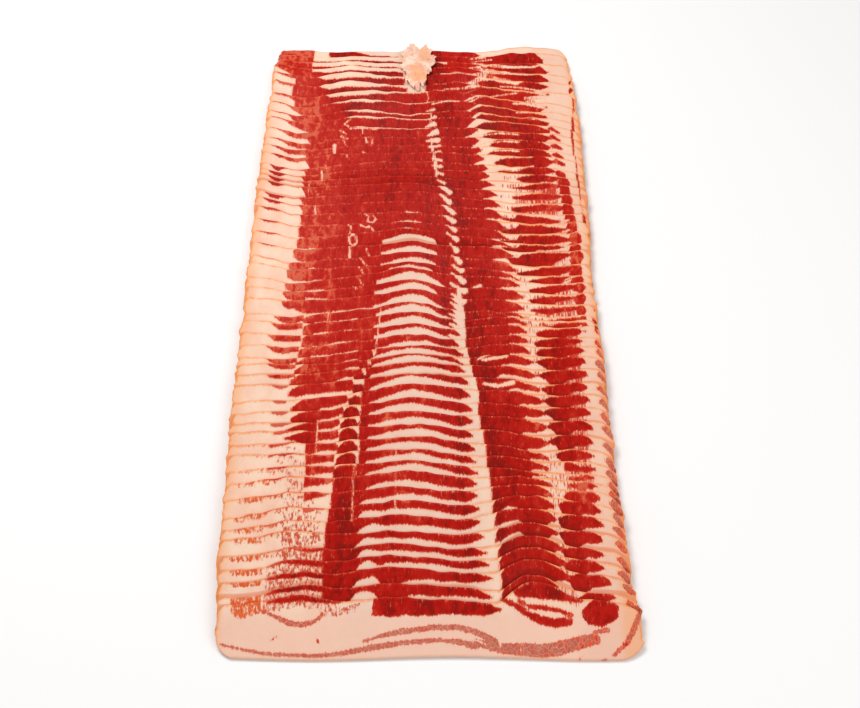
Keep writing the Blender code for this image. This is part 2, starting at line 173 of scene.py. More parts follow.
# The muscles and fat seams. Each line is a cut through a muscle at one or more places in the block: the
# places, then its outline from left to right, each point with x, top depth, bottom depth and tone. "e"
# is the lean edge, "f" is on under the next rasher, and a negative bottom is counted up from the next
# rasher's lean edge. A tone runs from 0, a light orange red, over 0.5, plain lean, to 1, a dark brownish
# red, and below 0 it pales. A point without a tone has the tone of the point before it.
MUSCLES = {
    "outer red": (-108, """
    0: -125 e f .1; -118 e f .12; -105 e f .2; -92 e f .25
    34: -124 e 3 .1; -118 e 6 .15; -108 e 10 .2; -92 e f .25
    38: -123 e 1 .1; -118 e 2 .15; -108 e 4 .2; -104 e 5 .25"""),
    "outer slivers": (-114, """
    38: -123 e 1.5 .1; -117 e 2.6 .15; -111 e 3 .2; -104 e 3.4
    64: -123 e 1.5 .1; -117 e 2.2 .15; -111 e 2.4 .2; -105 e 2.6
    74: -122 e 1 .1; -117 e 1.6 .15; -112 e 1.6 .2; -106 e 1.6
    97: -122 e .8 .15; -117 e 1 .2; -113 e 1.2 .3; -109 e 1.3
    130: -119 e .8 .2; -116 e 1.4 .5; -113 e 2.8 .6; -109 e 2.6
    150: -118 e 2 .5; -115 e 4.5 .7; -111 e 5 .8; -106 e 1.4 .5
    178: -120 e 1 .5; -116 e 4 .7; -111 e 4 .8; -105 e 1.2 .3
    195: -122 e .8 .2; -117 e 2.2 .5; -111 e 1.8 .6; -106 e .6 .2
    220: -121 e .6 .2; -117 e 1.6 .3; -111 e 1.4; -106 e .3 .1
    240: -121 e .3 .1; -117 e .6 .2; -111 e .7; -106 e .2 .1"""),
    "outer lobe": (-98, """
    64: -109 e .5 .1; -105 e 4 .15; -99 e 7 .2; -92 e -.6 .25; -84 e f .3
    95: -109 e .5 .1; -105 e 4 .15; -99 e 6.5 .2; -93 e -.6 .25; -84 e f .3
    108: -112 e 1.5 .1; -106 e 4.5 .15; -99 e 5 .2; -92 e 6 .25; -85 e f .3
    128: -113 e 2 .3; -106 e 4.5 .2; -99 e 4.5; -92 e 5; -85 e f .3
    137: -113 e 2.5 .4; -106 e 4 .2; -99 e 4.5; -92 e 4; -85 e f .3
    150: -108 e 1.2 .2; -103 e .9; -98 e .8; -93 e 2; -87 e f .3
    178: -108 e 1.2 .1; -103 e .8; -98 e .8; -93 e 1.4 .15; -88 e f .3
    205: -106 e .3 .1; -102 e .4; -98 e .4; -94 e .3 .15; -90 e 1 .2"""),
    "left lobes": (-92, """
    240: -97 1 3 .1; -95 .3 6; -91 e 7 .15; -87 e 7 .2; -83 e 7 .25
    276: -100 1.5 3 .1; -98 .5 6 .15; -91 e 7 .2; -87 e 7; -83 e 7 .25
    290: -104 1.5 2 .1; -100 .8 4.6 .15; -94 e 5 .2; -89 e 5; -84 e 4.6
    310: -108 1 2 .1; -103 .6 4.8 .2; -96 e 5.2; -90 e 5; -85 e 4.4
    340: -107 .4 1 .1; -102 .3 4 .2; -96 e 4.4; -91 e 4; -87 e 3
    352: -104 .3 .6 .1; -100 e 2 .2; -96 e 2.6; -93 e 2; -91 e 1
    363: -101 e .6 .1; -98 e 2.6 .2; -95 e 3; -92 e 2; -91 e 1
    378: -100 e 2.5 .1; -97 e 3.4; -93 e 3.4; -90 e 1; -88 e .3
    387: -99 e 2.5 .1; -95 e 3 .3; -90 e 2 .4; -84 e 1.2 .3; -80 e .4 .1
    397: -100 e 2.6 .2; -95 e 2.2 .4; -90 e 1.6 .5; -84 e .8 .3; -77 e .5 .1
    405: -100 e 1.8 .3; -95 e 1 .5; -90 e 2.2 .7; -84 e .8 .6; -77 e .5 .3
    416: -101 e 1.8 .2; -96 e 1.6 .4; -92 e 2.2 .5; -88 e .4 .3; -77 e .5 .1
    430: -101 e 1.4 .1; -97 e .9 .2; -93 e .6; -88 e .8 .1; -77 e .4
    470: -98 e .8 .1; -95 e .6; -92 e .4; -88 e .6; -77 e .6 .2
    476: -97 e .3 .1; -94 e .2; -92 e .2; -88 e .2; -78 e .2 .2"""),
    "left bands": (-78, """
    466: -90 e .6 .2; -84 e .7 .4; -76 e 1.6 .5; -70 1 2.5 .4; -60 e 1 .6
    474: -93 e .8 .2; -84 e 1 .5; -76 e 3 .6; -70 .5 4; -60 e 3 .7
    481: -95 e 1.4 .3; -88 e 3 .7; -80 e 3.6 .75; -70 e 4.2; -60 e 4.5 .8
    488: -95 e 1.8 .3; -88 e 3.8 .8; -80 e 4.4 .85; -70 e 4.6; -60 e 5 .9
    497: -95 e 1.8 .3; -88 e 3.2 .9; -80 e 3.8 .95; -70 e 4; -60 e 5 .9
    503: -92 e 2.5 .8; -86 e 3.6 .9; -80 e 4.2; -70 e 4; -60 e 2.6; -46 e .5 .8"""),
    "main left": (-62, """
    3: -75 e 8 1; -72 e 8; -66 e 7; -62 e 6; -45 6 7.5 .8; -30 6 7; -22 6.5 6.8
    12: -93 6 7 .6; -84 5.5 9 .7; -76 5.5 10 .9; -60 5.5 10; -45 5 11; -25 5 11; -17 7 8 .8
    31: -93 4 6 .4; -88 3.5 f .5; -76 6 f .9; -60 6.5 f; -45 5 f; -25 4 f; -17 5 9
    41: -105 e f .25; -91 e f .35; -80 4.5 f .8; -60 5.5 f 1; -45 4 f .9; -25 2 f .8; -15 2 9 .7
    54: -107 e f .25; -88 e f .35; -79 4 f .8; -60 5 f 1; -45 4.5 f .9; -25 1 f .8; -14 3 9 .7
    66: -103 e f .25; -82 e f .3; -76 2.5 f .6; -60 3.5 f .9; -45 4 f; -25 1.5 f .8; 6 1 f .6
    76: -90 e f .2; -80 e f .3; -72 1.2 f .5; -60 2 f .9; -45 3.5 f; -30 .8 f .8; 6 1 f .7
    88: -90 e f .2; -80 e f .3; -68 e f .45; -58 1.5 f .8; -44 2.8 f .9; -32 1.4 f .8; 5 1.3 f .7
    98: -88 e f .2; -78 e f .3; -68 e f .4; -60 1.2 f .7; -44 2.2 f .8; -32 1.2 f .7; 5 1.1 f
    108: -87 e f .2; -78 e f .35; -66 e f .4; -56 .7 f .6; -44 1.4 f .7; -32 1 f .6; 5 .9 f
    120: -86 e f .2; -78 e f .35; -66 e f .45; -56 e f .55; -44 .3 f .65; -32 e f; 6 e f .7
    175: -88 e f .2; -82 e f .3; -66 e f .45; -56 e f .55; -42 e f .65; -20 e f .75; 10 e f
    193: -92 2 7 .1; -88 e 9 .2; -80 e -1 .3; -72 e f .4; -50 e f .6; -42 e f .65; -30 e f
    216: -93 2 8 .1; -89 e 9 .15; -80 e -1.4 .3; -72 e f .4; -50 e f .55; -42 e f .6; -30 e f .65
    238: -97 2 6 .1; -91 e -2.6 .15; -80 e -2 .3; -72 e -1.2 .35; -58 e f .5; -42 e f; -32 e f
    259: -99 2 6 .1; -93 e -2 .15; -80 e -1.4 .3; -72 e -1.2 .35; -58 e f .5; -42 e f; -34 e f
    277: -92 e 7 .1; -86 e -2.6 .2; -80 e -2 .3; -72 e -1.6 .35; -55 e -1.5 .5; -44 e -1.5; -36 e -1.2
    290: -83 3 f .15; -80 .8 f .2; -76 e -1 .3; -66 e -.8 .4; -52 e -.8 .5; -42 e -.6; -34 e f
    318: -86 3 f .15; -82 1 f .2; -78 e -.8 .3; -66 e -.8 .4; -52 e -.8 .5; -42 e -.6; -34 e f
    334: -89 5 f .2; -82 .8 f .25; -78 e f .3; -66 e f .5; -52 e -.6; -44 e -.6; -39 e f
    348: -91 5 8 .4; -86 2 -2; -78 e -3; -66 e -2.8 .5; -54 e -2.5; -49 e -2; -47 3 -3
    363: -88 6 8 .4; -82 1.4 f; -76 e f; -68 e -1 .5; -60 e -1.6; -54 e -2; -51 4 -3
    380: -90 5 6.5 .7; -82 2 f; -76 .5 f .6; -70 e -.8 .4; -62 e -1.4; -57 e -2; -55 4 -3
    388: -92 5.5 6.5 .8; -84 2.5 7.5; -76 .5 f .7; -70 e -1 .4; -62 e -2.4; -57 e -2; -56 4 -3
    397: -76 e 8 .5; -74 e 8; -72 e 7 .4; -68 e 6; -62 e 4.6 .35; -58 e 6 .4; -57 3 6
    416: -76 e 6.5 .4; -74 e 6.5; -72 e 6; -68 e 6; -62 e 4.4 .3; -59 e 4.5; -57 1 4 .4
    428: -76 e 7 .3; -74 e 7 .4; -72 e 5.5; -68 e 5; -64 e 3.5 .3; -60 e 2 .2; -59 e 1 .3
    437: -75 e 5 .2; -73 e 5 .4; -71 e 5 .3; -69 e 4; -66 e 2.6 .2; -63 e .6; -62 e .4 .3
    447: -75 e 2 .1; -73 e 2.4 .2; -70 e .8 .3; -68 e .3; -66 e .8 .2; -63 e 1.4; -61 e .6 .3"""),
    "dome": (-48, """
    342: -47 5 6 .8; -45 4 f; -43 4 f; -40 6 7
    363: -53 5 f .8; -50 2 f .85; -47 1.2 f; -44.5 2.2 f .8; -42.5 6 9
    380: -56 5 f .8; -53 1.8 f .85; -50 1 f; -46 2 f .8; -43 6 9
    400: -57.5 4.5 f .8; -54 1.6 f .85; -50 .9 f; -46 1.6 f; -43 5 9 .8
    413: -57.5 3 f .8; -54 1.2 f .85; -50 .8 f; -45 .8 f; -42 3 f .8
    430: -59 e f .8; -53 e f .85; -47 e f; -38 e -3 .7; -31 e -6 .6
    460: -62 1 f .7; -58 e f .8; -48 e f .85; -38 e -4 .7; -31 e -6.5 .6
    480: -62 1 f .75; -58 e f .85; -47 e f .9; -38 e -3.5 .8; -31 e -6 .6
    495: -62 1 f .75; -58 e f .85; -47 e f .9; -40 e -3.5 .8; -31 e -5 .6
    504: -62 e 1.4 .8; -56 e 1.6 .85; -50 e 1; -44 e .4 .7"""),
    "centre": (-8, """
    156: -40 e f .64; -34 e f; -26 e f; -12 e f .69; -2 e f .74; 5 e f; 10 e f; 14 e f
    164: -40 e f .64; -34 e f; -26 e -.4; -12 e -1.1 .69; -3 e -.8 .74; 0 e f; 10 e f; 18 e f
    173.5: -40 e f .64; -34 e f; -26 e -.6; -12 e -1.4 .69; -3 e -1.2 .74; 0 e f; 10 e f; 19 e f
    183.5: -40 e f .64; -34 e f; -25 e -.8; -12 e -2.6; -2 e -1.8 .69; 3 e f .74; 10 e f; 20 e f
    194.5: -40 e f .64; -34 e -.3; -24 e -1.8; -12 e -3.2; -2 e -2.4; 3 e f .74; 10 e f; 21 e f
    204.5: -40 e f .64; -34 e f; -22 e -.3; -12 e -1.2; -2 e -.8; 2 e f .74; 10 e f; 22 e f
    212: -42 e f .64; -34 e -1.6; -24 e -3.4; -12 e -5.2; 0 e -4.8; 8 e -2.8 .74; 11 e f; 23 e f
    222.5: -42 e -1.4 .64; -34 e -2.2; -22 e -3.8; -10 e -5.2; 1 e -4.8; 9 e -2.8 .74; 12 e f; 24 e f
    232: -43 e -1.6 .64; -34 e -2.6 .69; -22 e -4.4 .64; -10 e -5.6; 1 e -5.2; 9 e -3 .74; 12 e f; 24 e f
    242: -43 e f .64; -34 e f .69; -24 e -1.4 .64; -10 e -2.2; 1 e -2; 6 e -1.4 .74; 12 e f; 24 e f
    248.5: -43 e -1.4 .5; -34 e -3 .55; -22 e -4.8 .5; -10 e -7.4; 1 e -6.8; 9 e -3.6 .6; 15 e -.8 .7; 24 e f
    259.5: -46 e -1.2 .5; -34 e -2.8 .55; -22 e -4.4 .5; -10 e -6; 1 e -5; 9 e -2.2 .6; 15 e f .7; 24 e 9
    268.5: -47 e -1 .5; -34 e -2.8; -22 e -5.4; -8 e -7.4; 2 e -6; 10 e -3 .6; 16 e -.8 .8; 24 4 8 .7
    279.5: -46 e f .5; -35 e -2; -24 e -5; -8 e -7; 2 e -6; 10 e -3.4 .6; 17 e -1.2 .8; 24 5 7.5 .7
    298.5: -46 e f .5; -36 e -1.8 .55; -24 e -5 .5; -8 e -6.6; 3 e -5.4; 11 e -3 .6; 18 e -1 .8; 24.5 5 7 .7
    308: -46 e f .5; -32 e -.6 .55; -22 e -2.4 .5; -8 e -3.8; 3 e -3; 8 e -1.6 .6; 18 e -.8 .8; 25 5 7 .7
    317: -46 e f .5; -34 e -1 .55; -24 e -3.4 .5; -8 e -5; 3 e -4; 10 e -2.2 .6; 19 e -.8 .8; 26 5 7 .7
    332: -41 e f .5; -35 e -1.4 .55; -24 e -4 .5; -8 e -6; 3 e -5.2; 12 e -3 .6; 20 e -1.6 .8; 28 4 6 .7
    341: -41 e f .6; -36 e -1.4; -25 e -4.4 .5; -8 e -6.6; 3 e -5.6; 12 e -4 .6; 22 e -2.4 .8; 30 4 6 .7
    385: -42 e f .7; -36 e -1.2; -25 e -4 .5; -8 e -6; 5 e -5; 15 e -3.4 .6; 24 e -2 .8; 32.5 4 5.5 .7
    420: -43 e f .7; -37 e -1.4 .6; -25 e -3.6 .5; -8 e -5.4; 5 e -5; 15 e -3 .6; 25 e -1.8 .8; 34 4 5 .7
    448: -46 e 1 .7; -35 e 3; -24 e -2.4; -8 e -4.6 .6; 5 e -5; 15 e -3.4 .7; 26 e -2 .8; 35.5 3.5 4.5 .7
    462: -46 e 1 .7; -35 e 3; -26 e -3; -8 e -3.6; 5 e -3.4 .6; 15 e -2.4 .7; 27 e -1.6 .8; 38 3.5 4.5 .7
    476: -44 e 1 .7; -34 e 3; -26 e -1.4; -8 e -3; 5 e -3.4 .6; 15 e -2.8 .7; 27 e -1.8 .8; 40 3.5 4.5 .7
    486: -40 e 1 .8; -31 e 4; -24 e f .7; -8 e -1.4; 5 e -2 .6; 15 e -1.6 .7; 28 e -1.2 .8; 41 3.5 4.5 .7
    495: -38 e 2 .8; -31 e 5 .7; -24 e f; -8 e -.8; 5 e -1; 15 e -1.2; 28 e -1.6 .8; 41 4 5 .7
    503: -32 7 9 .7; -30 e 10; -22 e 11.4 .8; -8 e 10.4; 5 e 9.4; 15 e 8.6; 34 e 8 .9; 46.5 4.5 5.5 .7"""),
    "dark": (40, """
    3: 3 e f .8; 10 e f; 24 e f .6; 32 e f; 40 e 7; 46 4 6
    30: 1 e f .9; 10 e f; 24 e -1.5 .5; 34 e -2; 42 e 6 .7; 50 3 6
    48: 1 e f 1; 8 e f .9; 24 e -1.5 .7; 33 e -2 .8; 40 e 5 .9; 46 2 4
    68: 3 e f .7; 9 e -2 .8; 20 e -2 .7; 28 e -1; 35 e 8; 47 e .5 .8
    80: 6 1.5 f .9; 12 .9 f; 20 .6 f; 28 .9 f; 35 .8 8 .8; 46 e .5
    98: 5 e f .8; 12 e f .85; 20 e f .9; 28 e f .85; 34 e 8 .8; 42 e .6 .7
    110: 6 e f .7; 14 e f .8; 20 e f; 30 e f; 36 e 8 .7; 42 2 4 .5
    135: 9 e f .9; 18 e f .8; 24 e f .85; 34 e f .8; 40 e 8 .7; 46 3 5 .5
    155: 11 e f .9; 18 e f .8; 26 e f; 36 e f; 44 e 8 .7; 51 4 5 .5
    172: 14 e 9 .9; 25 e f; 30 e f .8; 40 e f; 45 e -1 .7; 51 1 -2.4 .6; 55.5 4 5 .5
    205: 16 e 9 .9; 26 e f .8; 30 e f; 42 e f; 48 e -1 .7; 56 1.4 -2.8 .6; 61.5 4.5 5.5 .5
    240: 22 e 9 .8; 30 e f; 34 e f; 46 e f .75; 54 e -1 .6; 61 1.4 -2.4 .5; 67 4 5
    270: 27 e 9 .9; 31 e f; 34 e f .85; 50 e f .75; 58 e -1 .6; 65 1 -1.6 .5; 70 4 6 .4
    300: 28.5 e 9 1; 30 e f .9; 40 e f .85; 52 e f .75; 59 e -1 .6; 66 1.2 -1.8 .5; 71 4 6 .4
    322: 30 e 5 1; 33 e f .9; 40 e f .85; 52 e f .75; 59 e -1 .6; 67 1.4 -2 .5; 72 4 6 .4
    330: 31 2 5 .9; 34 e f; 40 e f; 52 e -2 .7; 62 1 -2 .5; 70 2.4 -1.6 .4; 74 4 6
    342: 34 1 5 .9; 37 e f; 43 e f 1; 54 e -2.4 .7; 62 1 -2 .5; 72 2 -1.8 .35; 76.5 4 6.5 .3
    352: 35.5 e 5 .9; 38 e f; 44 e f; 56 e f .7; 66 .6 -1.6 .5; 74 2 -1.6 .35; 79 4 6.5 .3
    385: 38.5 e f .9; 42 e f; 48 e f .85; 60 e f .7; 68 .8 -.8 .5; 76 1.8 -1.2 .35; 80.5 4.4 6.6 .3
    415: 41.5 e f .95; 45 e f .9; 52 e f .8; 60 e f .7; 70 .8 -1 .5; 77 2 -1.2 .35; 81 4.4 6.6 .3
    440: 43.5 4 9 .9; 46 e 9 .95; 52 e -2 .8; 58 e -.6 .75; 64 e f .6; 72 .8 f .5; 78 2 -1 .45; 81.5 5 7 .4
    462: 45 4 9 .9; 48 e 9 .95; 53 e -2 .8; 60 e -.8 .7; 66 e f .55; 74 .8 f .5; 80 2 -1 .45; 84 5 7 .4
    480: 46.5 3 9 .9; 50 e f .95; 56 e f .8; 62 e f .6; 68 e f .55; 76 .8 f .5; 84 2 -1 .45; 90 4 6 .4
    490 500: 47 3 f .9; 50 e f .95; 54 e f .8; 60 e f .6; 66 e f; 76 .8 f .5; 84 2 -1 .45; 91 5 7 .4
    502: 47 2 3 .9; 50 2 3 .95; 54 2 3 .8; 60 2 3 .6; 66 2 3; 76 2 3 .4; 84 2 3; 91 2 3"""),
    "right": (85, """
    3: 42 6 7 .7; 52 e 10 .8; 60 e f; 75 e f; 90 e f; 96 3 f
    14: 44 5 6 .7; 52 e 7 .8; 60 e 12; 75 e 14; 90 e 12; 101 7 8
    30: 54 3 5 .4; 60 1 6 .5; 68 .9 7 .7; 76 e f .8; 90 e f; 103 6 7 .7
    44: 50 3 9 .3; 58 2 8 .25; 66 e 8 .6; 78 e 8 .8; 90 e f .9; 102 6 7 .8
    54: 42 5 f .8; 54 2 f; 62 4 f .7; 76 5 f .4; 84 e 8 .8; 102 4 5 .9
    65: 34 8 f .9; 46 1 f; 58 .9 f .8; 74 1.2 f .6; 86 1.8 6 .5; 101 2 3 .7
    77: 37 8 f .9; 46 1.5 f; 58 1 f .8; 72 1.2 f .6; 86 2 f; 98 4 5
    95: 38 8 f 1; 46 2 f .9; 58 .9 f .8; 74 .9 f .75; 88 1 f .7; 99 4 7 .6
    108: 42 8 f 1; 50 3.5 f; 57 1 f .8; 74 .9 f; 88 .6 f .75; 99 4 6 .6
    122: 44 7 f 1; 52 3.5 f; 58 .8 f .8; 74 1 f; 88 e f .75; 99 4 6 .6
    134: 53 7 8 .9; 57 3 f; 64 1.4 f .8; 74 1.2 f; 88 e f .75; 99 4 6 .6
    149: 57 6 7 .9; 64 4.4 7; 72 4.6 7.4 .8; 78 1.6 7.4 .75; 90 e 7.6 .7; 102 3 4 .6
    157: 71 5 6 .8; 76 2.6 8; 82 1 8 .75; 90 e 7 .7; 98 e 5.6 .6; 105 1.6 2.6 .5
    166: 66 5 6 .8; 74 4 6.6; 82 1.6 6.6 .6; 90 .5 6 .5; 98 e 5; 105 1.4 2.4 .4
    186: 66 4 6.6 .9; 72 3 8; 80 2 -2 .5; 90 1 -2.5 .25; 98 1 -3 .2; 105 3 -4
    197: 57 5 6.4 .9; 67 4.4 7.6 1; 69 1.6 -1 .9; 82 2.5 -.6 .6; 96 4 -.8 .5; 105 5.5 -3
    207: 56 5.6 7.4 .9; 68 4.4 f .95; 70 1.6 f .9; 84 1.2 -.4 .8; 96 2.4 -1 .7; 105.5 4 -4 .5
    228: 58 5.6 6.8 .9; 69 4.4 f .95; 70.5 1.4 f .85; 84 1.2 -.4 .8; 97 .8 -1.6 .6; 106 3 -4.4 .5
    240: 60 7 8 .9; 69 6 f .95; 71 3.4 f .85; 84 2 f .8; 94 .6 -1.6 .6; 107 1.4 -7 .5
    250: 71 5 6 .9; 77 2.6 f .95; 82 2 f .85; 88 1 f .6; 100 .6 -1.6 .5; 109 .6 -6
    265: 74 7 8 .9; 80 4.6 f; 86 2.4 f .7; 92 1.4 -.6 .6; 102 1.4 -3 .5; 110 2 -5 .4
    283: 75 5 6 .9; 82 3.4 -2 .8; 90 3 -2.4 .5; 95 2.4 -3.5 .4; 102 2 -4.4 .3; 110 2 -5
    296: 85 4 6 .6; 90 4 6.5 .7; 94 2.5 7 .5; 100 1.4 6 .2; 106 1.4 6 .3; 111 2.5 4 .4
    305: 75 5 6 .95; 80 2.6 f; 88 1.4 f .7; 98 .6 -.6 .6; 105 .8 -1.4; 108.5 2 -3; 110 4 -4
    320: 75 4.5 5.5 .95; 80 2 8; 88 .5 f .75; 98 e -.7 .65; 105 .6 -1.6; 108.5 2 -3 .6; 110 4 -4
    395: 81 3.5 5 .95; 86 1.6 8 .9; 90 .5 f .8; 99 e -.8 .7; 105 .6 -1.6 .65; 108.5 2 -3 .6; 110 4 -4
    410: 91 1 6 .6; 93 .8 7; 96 1.5 6.5; 101 3 6.5 .3; 105 2.5 7 .5; 110 3.5 5 .4
    420: 93 2.5 3 .2; 95 2 3.5; 98 2 4 .1; 102 .8 4 .2; 105 .8 3.5 .3; 109 1.4 2 .2
    430: 88 4 5 .7; 91 1.5 7 .5; 95 .6 7.4 .4; 100 .6 7.4 .35; 106 .6 7.4 .5; 110 3 5
    440: 82.5 4 5 .95; 88 1.4 f .9; 92 .4 f .75; 100 e -.8 .65; 106 .6 -1.4; 109.2 2.2 -3 .6; 110.6 4 -4
    478: 85 4.4 6 .95; 89 1.4 f .9; 93 .4 f .8; 100 e -.8 .65; 106 .6 -1.4; 109.4 2.2 -3 .6; 111 4 -4
    490: 89 5 8 .9; 93 2 f; 97 e f .8; 104 e -.8 .7; 110 .6 -1.4 .6; 113.4 2.2 -3; 115 4 -4
    503: 95 7 10 .7; 97.5 3.5 13.5; 101 .5 14.5; 106 e 11 .65; 112 e 7 .6; 115.5 1 4; 117 2 3"""),
    "right lobes": (106, """
    104: 98 2 3 .5; 101 1 5; 105 4 7; 107 5.5 6.5
    150: 100 4 5 .5; 103 1.6 6.5 .4; 107 3 7.5 .35; 109 4.5 6 .3
    160: 102.5 4 8 .35; 104.5 .6 f; 109 .6 f; 110.8 4 8 .3
    190: 104 4 8 .4; 105.6 .5 f; 110.8 .5 f; 112.8 4 8 .3
    217: 105.5 5 8 .35; 107.4 .6 f .3; 113 .6 f; 115.3 4 8
    255: 105 5 6 .4; 107.5 1 9 .35; 112.5 1 9; 115 4 6 .3
    290: 108 4 6 .3; 109.6 1 9 .35; 113 1 9; 114.8 4 5 .3
    300: 110 3.5 4 .3; 111 3 5; 112 3 5; 113 4 4.4 .2"""),
    "rim streak": (118, """
    36 60: 117 6 7 .8; 118.5 3 8; 121 1 4 .7
    66: 119.6 e f .8; 120.4 e f; 121.4 e f .7
    100: 117 e f .85; 117.8 e f; 118.7 e f .8
    112: 115.6 e f .85; 116.4 e f; 117.2 e f .8
    190: 117.6 e f .85; 118.2 e f; 118.7 e f .8
    200: 119.5 2 4 .9; 120.2 1 5; 121 2 4
    215: 120.5 e 2 .9; 121.2 e 3; 122 e 2"""),
    "rim diamonds": (119, """
    285: 119 2 4 .8; 120 1 6; 121 2 4
    330: 116.4 4 5.5 -.1; 118.4 1.5 7.4; 121 2.5 9.6; 123.4 7 10
    440: 117 4 5.5 -.1; 119 1.5 7.4; 121.6 2.5 9.6; 124 7 10
    480: 118 4 5.5 -.1; 120 1.5 7.4; 122.6 2.5 9.4; 125 6 9
    502: 120 3 4.5 -.1; 122 1 7; 124.6 1.5 9; 127.4 4 8"""),
}

# Where fine hairs of lean run through the fat, given like the muscles. The last number of a point is how
# dense the hairs are.
MOTTLES = {
    "left dashes": (-108, """
    390: -118 e 1.2 .12; -108 e 1.6 .2; -100 e 2 .16
    415: -118 e 2 .31; -108 e 3 .47; -100 e 3 .39
    430: -118 e 3 .62; -108 e 4 .78; -100 e 4 .7
    470: -118 e 3.5 .78; -108 e 4.5 .94; -99 e 4.5 .86
    500: -117 e 3.5 .86; -108 e 4 1; -99 e 4.5 .94
    507: -115 e 8 .94; -108 e 8.5 1.1; -98 e 8 1; -93 e 7 .94"""),
    "left speckles": (-80, """
    398: -94 e 8 .1; -86 4 9 .35; -77 5 9 .25
    420: -100 e 4 .6; -90 e 3 .5; -84 2 f .45; -77 3 f .4
    440: -100 e 2 .7; -90 e 3 .5; -84 2 f .55; -77 2 f .6; -64 2 3 .1
    458: -100 e 2 .7; -90 e 4 .6; -84 2 f .7; -77 2 f; -64 e 4
    470: -98 e 3 .8; -90 e 4; -84 e f; -77 e f; -62 e f
    480: -97 e 5 .7; -90 e f; -84 e f; -77 e f; -62 e f
    497: -97 e 6 .6; -90 e f; -84 e f; -77 e f; -62 e f
    503: -97 e 7 .6; -90 e 6; -84 e 6; -70 e 6 .5; -50 e 4 .6"""),
    "front speckles": (-50, """
    496 504: -62 3 10 .6; -50 4 9 .65; -38 2 6 .5"""),
    "right tangle": (70, """
    150: 62 4 7 .4; 72 2 6 .5; 82 1 3 .4
    200: 52 4 6 .3; 60 3 6 .4; 66 2 5 .3
    400: 78 2 7 .3; 84 1 5 .4; 89 1 4
    480 494: 80 1 6 .4; 86 .5 5 .5; 92 1 5"""),
    "pale right": (90, """
    150: 84 3 8 .2; 92 3 8 .3; 100 3 7
    162 185: 70 4 f .6; 82 3 f .9; 92 2 f 1; 101 3 f .8
    200: 78 6 f .4; 88 6 f .5; 96 5 f; 102 4 f .4
    255: 80 7 f .3; 88 7 f .4; 96 6 f; 104 5 f
    268: 76 3 f .5; 86 2 f .8; 96 2 f 1; 106 3 f .8
    290: 76 3 f .5; 86 2 f .8; 96 2 f .9; 106 3 f .8
    404 428: 90 2 f .4; 95 1 f .7; 102 1 f .8; 108 2 f .6"""),
    "back": (20, """
    10: 30 1 f .6; 42 1 f .7; 52 1 f .5
    50: 8 2 f .5; 20 2 f .6; 50 3 f; 90 4 f .5"""),
}

